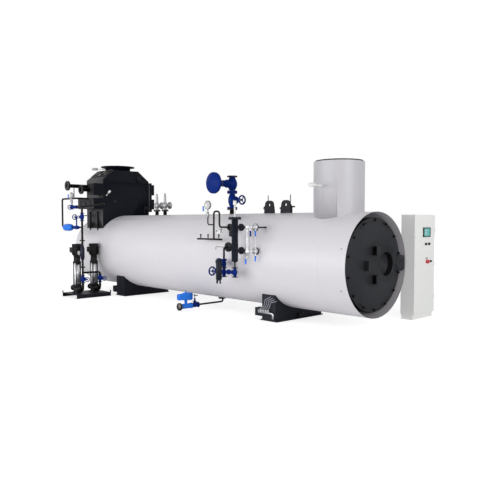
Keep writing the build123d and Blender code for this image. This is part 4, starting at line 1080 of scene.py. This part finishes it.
# %% Pump details
nut_r = 0.016
rod_ring_r = 0.094
gland = ((0.014, 0), (0.014, 0.02))
cover = ((0.124, -0.07), (0.127, -0.066), (0.127, -0.008), (0.116, 0.0), (0.05, 0.002))
nuts = Shape()
covers = Shape()
for row_y in pump_rows:
    for degrees in (45, 135, 225, 315):
        angle = math.radians(degrees)
        place_x = pump_x + rod_ring_r * math.cos(angle)
        place_y = row_y + rod_ring_r * math.sin(angle)
        nut = ((nut_r, 0), (nut_r, 0.02), (0.009, 0.024))
        nuts.turned((place_x, place_y, 0.905), up, nut, steps=6)
    covers.turned((pump_x, row_y, 1.381), up, (*cover, (0.046, -0.002)), steps=32)
    for gland_x in (pump_x + 0.03, pump_x - 0.03):
        covers.turned((gland_x, row_y - 0.152, 1.165), down, gland, steps=6)
nuts.piece("tie_rod_nuts", black_paint, "motor", bevel=0.001)
covers.piece("motor_covers", motor_black, "motor", bevel=0.002)
plate = Shape()
plate.turned((0, 0, 0), along_x, ((0.036, 0), (0.036, 0.004)), steps=24)
plate_place = (pump_x + 0.127, pump_rows[0] - 0.01, 1.148)
bmesh.ops.scale(plate.form, vec=(1.0, 1.0, 1.6), verts=plate.form.verts)
bmesh.ops.translate(plate.form, vec=plate_place, verts=plate.form.verts)
plate.piece("motor_plate", white_plastic, "white_plastic", bevel=0.001)

# %% [markdown]
# ## Rims and lugs
#
# A cast handwheel has a round rim that is thicker than its spokes. Each rim rides on its
# own wheel, so it turns with it. Its place comes from the wheel's own points: the thin side
# of the wheel's box is its axis.


# %% Wheel rims
def add_rim(wheel_name, share=0.16):
    """Round rim on a handwheel, as thick as a share of its radius."""
    low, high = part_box(wheel_name)
    size = high - low
    middle = (low + high) / 2
    thin = min(range(3), key=lambda part: size[part])
    axis = Vector([1.0 if part == thin else 0.0 for part in range(3)])
    radius = max(size) / 2
    thickness = radius * share
    heights = []
    for vertex in nodes[wheel_name].data.vertices:
        offset = vertex.co - middle
        height = offset.dot(axis)
        if (offset - axis * height).length > radius * 0.92:
            heights.append(height)
    rim = Shape()
    centre = middle + axis * (sum(heights) / len(heights))
    rim.ring(centre, axis, radius - thickness, thickness)
    rim.piece(wheel_name + "_rim", dark_blue, "wheel_paint", body=body_of_node[wheel_name])


for wheel_name in wheel_nodes:
    add_rim(wheel_name)

# %% [markdown]
# The lifting lugs are thick plates with straight sides and a round head. A hole could be
# cut with a Boolean modifier, but that leaves long thin faces. Here the outline is drawn
# round the eye instead: each step goes out from the eye's edge to the outline, so the
# plate closes without any cutting.


# %% Lifting lugs
eye_z = 2.312
eye_r = 0.032
lug_foot_z = 2.135
lug_half = 0.019


def lug_reach(angle):
    """How far the lug's outline is from the middle of its eye, in a direction."""
    side, height = math.cos(angle), math.sin(angle)
    if height >= 0.0:
        return 0.092 + 0.03 * abs(side)
    reach_side = (0.122 - 0.03 * height) / max(abs(side), 0.001)
    return min(reach_side, (eye_z - lug_foot_z) / -height)


lug_angles = [2 * math.pi * step / 64 for step in range(64)]
lugs = Shape()
for lug_x in (-0.665, -0.192):
    loops = []
    for y_side in (-lug_half, lug_half):
        for outer in (False, True):
            loop = []
            for angle in lug_angles:
                reach = lug_reach(angle) if outer else eye_r
                spot = (lug_x + math.cos(angle) * reach, y_side, eye_z + math.sin(angle) * reach)
                loop.append(lugs.form.verts.new(spot))
            loops.append(loop)
    for first, second in ((0, 1), (1, 3), (3, 2), (2, 0)):
        lugs.band(loops[first], loops[second])
    lugs.block((lug_x - 0.168, -0.016, 2.225), (lug_x - 0.12, 0.016, 2.262))
lug_piece = lugs.piece("lifting_lugs_dressed", anthracite, "anthracite", bevel=0.002)
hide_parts("lifting_lugs")

# %% [markdown]
# ## Cabinet door
#
# The door carries a display in a dark frame. It could be one glowing plane, but a flat
# colour would look switched off, so a teal ground that varies a little carries three pale
# bars, which are thin blocks. Nothing on it is lettering.

# %% Door display
door_low, door_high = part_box("cabinet_door")
print("door width:", round(door_high.y - door_low.y, 3))
door_x = 1.945
screen_y = 1.874
screen_z = 1.748
display_paint = Finish("display_glow")
scan = display_paint.noise(160.0, stretch=(1, 1, 6), detail=2.0)
teal = display_paint.blend(scan, linear(70, 160, 156), linear(104, 190, 184))
glow = {"Emission_Color": teal, "Emission_Strength": 0.2}
display_teal = display_paint.set(Base_Color=teal, Roughness=0.25, **glow)
screen = Shape()
screen_half = Vector((0.00125, 0.112, 0.078))
screen_middle = Vector((door_x + 0.01425, screen_y, screen_z))
screen.block(screen_middle - screen_half, screen_middle + screen_half)
screen.piece("display_screen", display_teal, "screen", body="cabinet_door")
bars = Shape()
bar_y = screen_y - 0.08
for order, length in enumerate((0.1, 0.06, 0.085)):
    low_z = screen_z + 0.032 - order * 0.036
    bars.block((door_x + 0.0155, bar_y, low_z), (door_x + 0.0162, bar_y + length, low_z + 0.01))
bars.piece("display_bars", dial_white, "white_plastic", body="cabinet_door")
bezel = Shape()
back_x, face_x = door_x + 0.012, door_x + 0.02
for side in (-1, 1):
    post_y = screen_y + side * 0.126
    rail_z = screen_z + side * 0.086
    bezel.block((back_x, post_y - 0.014, screen_z - 0.095), (face_x, post_y + 0.014, screen_z + 0.095))
    bezel.block((back_x, screen_y - 0.14, rail_z - 0.009), (face_x, screen_y + 0.14, rail_z + 0.009))
bezel.piece("display_bezel", bezel_grey, "screen", body="cabinet_door", bevel=0.0015)

# %% [markdown]
# Below the display a bare plate marks the emergency button, and three locks keep the free
# edge of the door shut. They are barely visible, but a door without locks looks painted on.

# %% Button plate and locks
button_plate = Shape()
button_plate.block((door_x, screen_y - 0.01, 1.205), (door_x + 0.002, screen_y + 0.058, 1.235))
button_plate.piece("door_plate", zinc, "galvanised", body="cabinet_door", bevel=0.0005)
locks = Shape()
for lock_z in (0.55, 1.1, 1.65):
    barrel = ((0.012, 0), (0.012, 0.003), (0.009, 0.004))
    locks.turned((door_x, 1.446, lock_z), along_x, barrel, steps=16)
locks.piece("door_locks", pale_steel, "galvanised", body="cabinet_door")

# %% [markdown]
# ## Dials
#
# Each pressure gauge has a white face with ticks round three quarters of it, generic
# numbers and a needle. The ticks are one block repeated on an arc. Numbers are text made
# into a mesh, because the export can't carry a font.


# %% Dial faces
def dial(name, middle, radius, reading):
    """Ticks, numbers and needle of a gauge that looks along -Y."""
    marks = Shape()

    def at(share, away, lift):
        """Angle and place of a reading, at a share of the radius."""
        angle = math.radians(225 - 270 * share)
        side, height = math.cos(angle) * away * radius, math.sin(angle) * away * radius
        return angle, middle + Vector((side, -lift, height))

    def stroke(share, away, lift, half_length, half_depth, half_width):
        angle, spot = at(share, away, lift)
        size = Vector((radius * half_length, half_depth, radius * half_width))
        marks.block(spot - size, spot + size, Matrix.Rotation(-angle, 4, "Y"))

    for tick in range(21):
        away, half_length = (0.8, 0.09) if tick % 5 == 0 else (0.85, 0.045)
        stroke(tick / 20, away, 0.001, half_length, 0.0006, 0.016)
    stroke(reading, 0.3, 0.003, 0.46, 0.0008, 0.022)
    hub = ((radius * 0.09, 0), (radius * 0.07, 0.005))
    marks.turned(middle - Vector((0, 0.001, 0)), across_y, hub, steps=14)
    upright = Matrix.Rotation(math.pi / 2, 4, "X")
    for order in range(5):
        words = bpy.data.curves.new("number", "FONT")
        words.body = str(order * 5)
        words.size = radius * 0.26
        words.align_x = "CENTER"
        words.align_y = "CENTER"
        _, spot = at(order / 4, 0.56, 0.0012)
        marks.take(words, Matrix.Translation(spot) @ upright)
    marks.piece(name + "_marks", black_plastic, "screen")


dial("pressure_dial", pressure_dial, 0.08, 0.45)
dial("feed_dial", feed_dial, 0.057, 0.6)

# %% [markdown]
# ## Handles
#
# The cocks of the gauges are worked by flat handles that hang down when they are open. A
# handle is a bar with round edges, and a bent rod joins it to its cock. A rod could be a
# chain of cylinders, but a curve with a thickness has no gaps at its bends.


# %% Cock handles
def handle(shape, place, height=0.108, width=0.034):
    """Flat handle, hanging at a place."""
    middle = Vector(place)
    half = Vector((width / 2, 0.008, height / 2))
    shape.block(middle - half, middle + half)
    head = middle + Vector((0, 0.012, height / 2 - 0.016))
    shape.turned(head, across_y, ((0.013, 0), (0.013, 0.026), (0.008, 0.03)), steps=12)


link_x = glass_x + 0.06
link_y = -1.045
light_handles = Shape()
handle(light_handles, (link_x, link_y, 1.732))
handle(light_handles, (link_x, link_y, 1.25))
handle(light_handles, (-0.128, -1.215, 1.198))
handle(light_handles, (-1.53, -1.105, 2.232))
handle(light_handles, (-6.585, -1.6, 2.644))
light_handles.piece("cock_handles_light", light_blue, "light_blue", bevel=0.004)
dark_handles = Shape()
handle(dark_handles, (0.006, -1.215, 1.734))
dark_handles.piece("cock_handles_dark", dark_blue, "dark_blue", bevel=0.004)
arms = Shape()
for level_z, handle_z in ((level_high_z, 1.77), (level_low_z, 1.29)):
    bend = (glass_x + 0.05, -1.03, level_z - 0.02)
    arms.rod([(glass_x, -1.03, level_z), bend, (link_x, -1.035, handle_z)], 0.008)
arms.rod([(glass_x, column_y, 1.85), (0.0, column_y, 1.84), (0.006, column_y, 1.77)], 0.009)
arms.rod([(glass_x, column_y, 1.36), (glass_x, column_y, 1.25), (-0.128, column_y, 1.24)], 0.009)
arms.rod([(-1.385, pressure_y, 2.1), (-1.49, pressure_y, 2.2), (-1.53, pressure_y, 2.27)], 0.007)
feed_y = pump_rows[0]
arms.rod([(-6.4, feed_y, 2.52), (-6.54, feed_y, 2.6), (-6.585, feed_y, 2.68)], 0.008)
arms.piece("cock_handle_arms", pale_steel, "stainless")
dial_case = Shape()
dial_case.ring(feed_dial + Vector((0, 0.006, 0)), across_y, 0.071, 0.011)
gauge_neck = ((0.02, 0), (0.034, 0.02), (0.034, 0.09), (0.02, 0.11))
dial_case.turned((feed_dial.x - 0.03, pump_rows[0], 2.48), up, gauge_neck)
dial_case.piece("feed_dial_bezel", satin_steel, "stainless")

# %% [markdown]
# ## Bonnets and taps
#
# The valves beside the sample cooler have side bonnets, and the diaphragm valve of the
# feed line has a travel rod of its own. Each is one turned outline, a list of radii and
# heights, as it would be on a lathe.

# %% Side bonnets
drop_bonnet = ((0.05, 0.0), (0.034, 0.03), (0.034, 0.13), (0.052, 0.14), (0.052, 0.165))
check_bonnet = ((0.05, 0.0), (0.045, 0.07), (0.072, 0.09), (0.076, 0.14), (0.05, 0.18))
travel_foot = ((0.03, 0.0), (0.03, 0.02), (0.017, 0.03), (0.017, 0.2))
travel_head = ((0.026, 0.21), (0.026, 0.24), (0.012, 0.25))
backwards = (-1, 0, 0)
bonnets = Shape()
drop_place = (standpipe_x - 0.03, column_y, sample_z)
check_place = (surface_x - 0.03, surface_y, 1.15)
bonnets.turned(drop_place, backwards, (*drop_bonnet, (0.02, 0.18)), steps=24)
bonnets.turned(check_place, backwards, (*check_bonnet, (0.02, 0.19)), steps=24)
bonnets.turned((-6.16, pump_rows[0], 1.84), up, travel_foot + travel_head)
bonnets.piece("side_bonnets", dark_blue, "dark_blue", bevel=0.002)

# %% [markdown]
# The manifold carries a black tap on each outlet. The other black stubs are small too: the
# ends below the cooler, the limit switch beside the standpipe, the nozzle in the bottom of
# the shell and the hand lever of the blowdown valve. They share a finish, so they are one
# piece.

# %% Taps and stubs
tap = ((0.012, 0), (0.012, 0.035), (0.02, 0.04), (0.016, 0.058))
stub = ((0.015, 0), (0.015, 0.06), (0.02, 0.062), (0.02, 0.075))
taps = Shape()
for cock_x in (-1.62, -1.38, -1.038):
    taps.turned((cock_x, pressure_y, 1.64), up, tap, steps=12)
    taps.block((cock_x - 0.022, pressure_y - 0.008, 1.684), (cock_x + 0.022, pressure_y + 0.008, 1.7))
for stub_x, stub_y in ((-0.8, -1.36), (-0.735, -1.33)):
    taps.turned((stub_x, stub_y, 0.81), down, stub, steps=14)
taps.turned((-1.041, -1.149, 1.771), across_y, ((0.015, 0), (0.015, 0.008), (0.01, 0.01)), steps=16)
taps.block((-0.6, column_y - 0.02, 1.67), (-0.53, column_y + 0.02, 1.78))
taps.turned((-2.215, 0, 0.2), down, ((0.074, 0), (0.074, 0.028)), steps=28)
taps.block((blowdown_x - 0.03, -0.845, 0.32), (blowdown_x + 0.1, -0.82, 0.336))
taps.piece("taps_and_stubs", black_paint, "anthracite", bevel=0.0015)
studs = Shape()
for stud_z in (2.768, 2.815, 2.862):
    studs.turned((steam_x + 0.03, -0.33, stud_z), (1, -0.2, 0), ((0.013, 0), (0.013, 0.02)), steps=8)
studs.piece("actuator_studs", bolt_steel, "bolts")

# %% [markdown]
# ## Gauge guard
#
# The glass stands in a pale housing with a hexagonal clamp at each end. Two thin rods join
# the upper handles to the lower ones, so that both cocks close together.

# %% Gauge guard
guard = Shape()
for guard_x, guard_y in ((0.006, column_y), (link_x, link_y)):
    guard.rod([(guard_x, guard_y, guard_z) for guard_z in (1.31, 1.5, 1.69)], 0.0035)
for clamp_z in (level_low_z + 0.036, level_high_z - 0.074):
    guard.turned((glass_x, column_y, clamp_z), up, ((0.032, 0), (0.032, 0.028)), steps=6)
guard.piece("gauge_guard_rods", pale_steel, "stainless", bevel=0.001)

# %% [markdown]
# ## Drain rack
#
# Four thin tubes leave the cocks on the front saddle, dip and swing forward in an S. Each
# is a bent rod through a few points, so its bends stay round, and each is set a little
# lower and flatter than the one behind it.

# %% Drain tubes
cock_places = (-0.19, -0.12, -0.05, 0.02)
tubes = Shape()
nuts = Shape()
for order, cock_x in enumerate(cock_places):
    foot_x = -0.087 + 0.052 * order
    bend_z = 0.41 - 0.014 * order
    spread = 1.0 - 0.13 * order
    start = [(cock_x, -0.775, 0.225), (foot_x - 0.02, -0.745, 0.27), (foot_x, -0.735, 0.34)]
    swing = [
        (foot_x, -0.735, bend_z),
        (foot_x + 0.055, -0.735, bend_z + 0.034 * spread),
        (foot_x + 0.105, -0.732, bend_z + 0.049 * spread),
        (foot_x + 0.158, -0.725, bend_z + 0.083 * spread),
    ]
    tubes.rod(start + swing, 0.0075)
    nuts.turned((cock_x, -0.79, 0.209), across_y, ((0.013, 0), (0.013, 0.018)), steps=6)
tubes.piece("drain_tubes", tube_grey, "stainless")
nuts.piece("drain_nuts", stainless, "stainless")
rail = Shape()
rail.block((-0.25, -0.745, 0.178), (0.1, -0.7125, 0.19))
rail.piece("drain_rail", anthracite, "anthracite", bevel=0.001)

# %% [markdown]
# ## Small marks on the big surfaces
#
# The economizer's front has welded seams, corner straps and a small bolted pad. They are
# small, but a large even surface looks unreal without them. They could be bump in the
# paint, but the export keeps only real geometry, so they are low blocks.

# %% Economizer marks
casing_face = -6.28
sunk_x = casing_face - 0.002
marks = Shape()
for seam_z in (3.077, 2.659):
    marks.block((sunk_x, -0.73, seam_z - 0.005), (casing_face + 0.005, 0.73, seam_z + 0.005))
for edge_y in (-0.722, 0.722):
    marks.block((sunk_x, edge_y - 0.022, 2.16), (casing_face + 0.01, edge_y + 0.022, 3.12))
eye_out = ((0.07, -0.002), (0.07, 0.01), (0.055, 0.012), (0.03, 0.012))
marks.turned((casing_face, 0.415, 3.19), along_x, eye_out)
for rib_y in (0.575, 0.685):
    marks.block((sunk_x, rib_y - 0.012, 2.24), (casing_face + 0.05, rib_y + 0.012, 2.43))
rib_pin = ((0.04, -0.002), (0.04, 0.055), (0.02, 0.06))
marks.turned((casing_face, 0.63, 2.36), along_x, rib_pin, steps=16)
marks.block((sunk_x, -0.3, 2.375), (casing_face + 0.014, -0.26, 2.415))
marks.piece("economizer_marks", anthracite, "anthracite", bevel=0.0015)
pad = Shape()
pad_out = ((0.026, -0.002), (0.026, 0.02), (0.018, 0.024))
pad.turned((casing_face, -0.375, 2.525), along_x, pad_out, steps=16)
pad.piece("economizer_pad", grey_pad_and_lit_side, "anthracite")

# %% [markdown]
# The header boxes have a raised frame round a recessed cover, and one cover has a drain
# plug. A frame is four bars, so a helper lays them from the corners of the cover.


# %% Header frames
def frame_on_header(shape, low_x, high_x, low_z, high_z, bar=0.018):
    """Raised frame on the outer face of a header box."""
    face_y = -1.055
    for edge_z in (low_z, high_z - bar):
        shape.block((low_x, face_y - 0.01, edge_z), (high_x, face_y + 0.002, edge_z + bar))
    for edge_x in (low_x, high_x - bar):
        shape.block((edge_x, face_y - 0.01, low_z), (edge_x + bar, face_y + 0.002, high_z))


frames = Shape()
frame_on_header(frames, -6.94, -6.4, 2.385, 2.54)
frame_on_header(frames, -6.54, -6.25, 2.735, 2.98)
frames.piece("header_frames", black_paint, "anthracite", bevel=0.001)
plug = Shape()
plug.turned((-6.657, -1.054, 2.465), across_y, ((0.032, 0), (0.032, 0.012), (0.02, 0.012)))
plug.piece("header_plug", bore_black, "anthracite")

# %% [markdown]
# A steel plant is earthed, so the saddle has a lug with two bolts. Three plugs close the
# vent holes near the front edge of the cladding. Each stands on the round, so its axis
# points out from the boiler's own axis.

# %% Saddle lug and cladding plugs
lug = Shape()
lug.block((0.178, -0.055, 0.02), (0.2, 0.06, 0.13))
lug.piece("earthing_lug", black_paint, "anthracite", bevel=0.002)
lug_bolt = Shape()
lug_bolt.turned((0.199, 0.005, 0.07), along_x, ((0.014, 0), (0.014, 0.01), (0.009, 0.012)), steps=6)
side_bolt = ((0.016, 0), (0.016, 0.006), (0.009, 0.008))
lug_bolt.turned((0.179, 0.124, 0.098), along_x, side_bolt, steps=14)
lug_bolt.piece("earthing_bolts", bolt_steel, "bolts", bevel=0.0008)
plugs = Shape()
for degrees, place_x in ((19.3, 1.899), (-25.2, 1.877), (-68.0, 1.87)):
    angle = math.radians(degrees)
    out = Vector((0, -math.cos(angle), math.sin(angle)))
    place = Vector((place_x, 0, axis_height)) + out * (casing_r - 0.001)
    plugs.turned(place, out, ((0.016, 0), (0.016, 0.003), (0.01, 0.005)), steps=14)
plugs.piece("cladding_plugs", satin_steel, "galvanised")

# %% [markdown]
# ## Light and floor
#
# A studio picture on white: a broad soft light from the camera's left shows the shell's
# round, a second from the front lights the cabinet and the front plate, and a weak one
# from above softens the top. Large lamps give soft shadows, as real softboxes do.


# %% Lamps
def soft_lamp(name, place, target, size, power):
    """Rectangular lamp that looks from a place at a target."""
    lamp = bpy.data.lights.new(name, "AREA")
    lamp.shape = "RECTANGLE"
    lamp.size, lamp.size_y = size
    lamp.energy = power
    made = bpy.data.objects.new(name, lamp)
    made.location = place
    made.rotation_euler = (Vector(target) - Vector(place)).to_track_quat("-Z", "Y").to_euler()
    bpy.context.scene.collection.objects.link(made)
    print(name, power, "watts")


shell_middle = (-2.5, 0.0, 1.2)
soft_lamp("key_light", (-4.0, -13.0, 3.0), shell_middle, (14.0, 5.0), 960)
soft_lamp("front_light", (12.0, -2.0, 4.5), (1.0, 0.0, 1.4), (6.0, 5.0), 560)
soft_lamp("top_light", (-3.0, 2.0, 10.0), shell_middle, (12.0, 6.0), 50)

# %% [markdown]
# The surround has two strengths. The camera sees pure white, and reflections see three
# quarters of it, while the light that falls on the boiler is much weaker. With one strength
# for all, either the background would be grey or the boiler would have no shadows.

# %% Surround
white = (1.0, 1.0, 1.0, 1.0)
world = bpy.data.worlds.new("surround")
world.use_nodes = True
sky = Graph(world.node_tree)
ambient = sky.tree.nodes["Background"]
sky.feed(ambient.inputs["Color"], (0.93, 0.94, 0.96, 1.0))
sky.feed(ambient.inputs["Strength"], 0.34)
seen = sky.node("ShaderNodeBackground", Color=white, Strength=1.0)
rays = sky.node("ShaderNodeLightPath").outputs
shown = sky.value(rays["Is Camera Ray"]) + sky.value(rays["Is Glossy Ray"]) * 0.75
shown = (shown + sky.value(rays["Is Transmission Ray"])).at_most(1.0)
picked = sky.node("ShaderNodeMixShader", Fac=shown)
sky.feed(picked.inputs[1], ambient.outputs["Background"])
sky.feed(picked.inputs[2], seen.outputs["Background"])
sky.feed(sky.tree.nodes["World Output"].inputs["Surface"], picked.outputs["Shader"])
bpy.context.scene.world = world
print("surround nodes:", len(sky.tree.nodes))

# %% [markdown]
# The floor is white paper. Its own glow is mixed in where the camera looks, and grows with
# distance, so the horizon melts into the surround while the shadow below the boiler stays.
# Other rays see plain white paper, which lights the boiler softly from below.

# %% Floor
floor_half = 60.0
near_edge = 5.0
fade = 7.0
corners = [(-1, -1), (1, -1), (1, 1), (-1, 1)]
floor_mesh = bpy.data.meshes.new("floor")
floor_points = [(x * floor_half, y * floor_half, 0) for x, y in corners]
floor_mesh.from_pydata(floor_points, [], [(0, 1, 2, 3)])
floor = bpy.data.objects.new("floor", floor_mesh)
bpy.context.scene.collection.objects.link(floor)
floor_finish = Finish("floor_paper")
away_x = floor_finish.along("X") + 2.7
away_y = floor_finish.along("Y")
distance = (away_x * away_x + away_y * away_y) ** 0.5
far = ((distance - near_edge) / fade).at_least(0.0).at_most(1.0)
floor_glow = floor_finish.blend(far, (0.72, 0.72, 0.72, 1.0), white)
floor_finish.set(Base_Color=(0.55, 0.55, 0.55, 1.0), Roughness=0.9)
floor_finish.set(Emission_Color=floor_glow, Emission_Strength=1.0)
camera_rays = floor_finish.node("ShaderNodeLightPath").outputs["Is Camera Ray"]
paper = floor_finish.node("ShaderNodeBsdfDiffuse", Color=(0.95, 0.95, 0.95, 1.0))
floor_mix = floor_finish.node("ShaderNodeMixShader", Fac=camera_rays)
floor_finish.feed(floor_mix.inputs[1], paper.outputs[0])
floor_finish.feed(floor_mix.inputs[2], floor_finish.shader.outputs[0])
surface = floor_finish.tree.nodes["Material Output"].inputs["Surface"]
floor_finish.feed(surface, floor_mix.outputs[0])
floor_mesh.materials.append(floor_finish.material)
bpy.context.scene.view_settings.view_transform = "Standard"
print("floor is", 2 * floor_half, "metres wide")
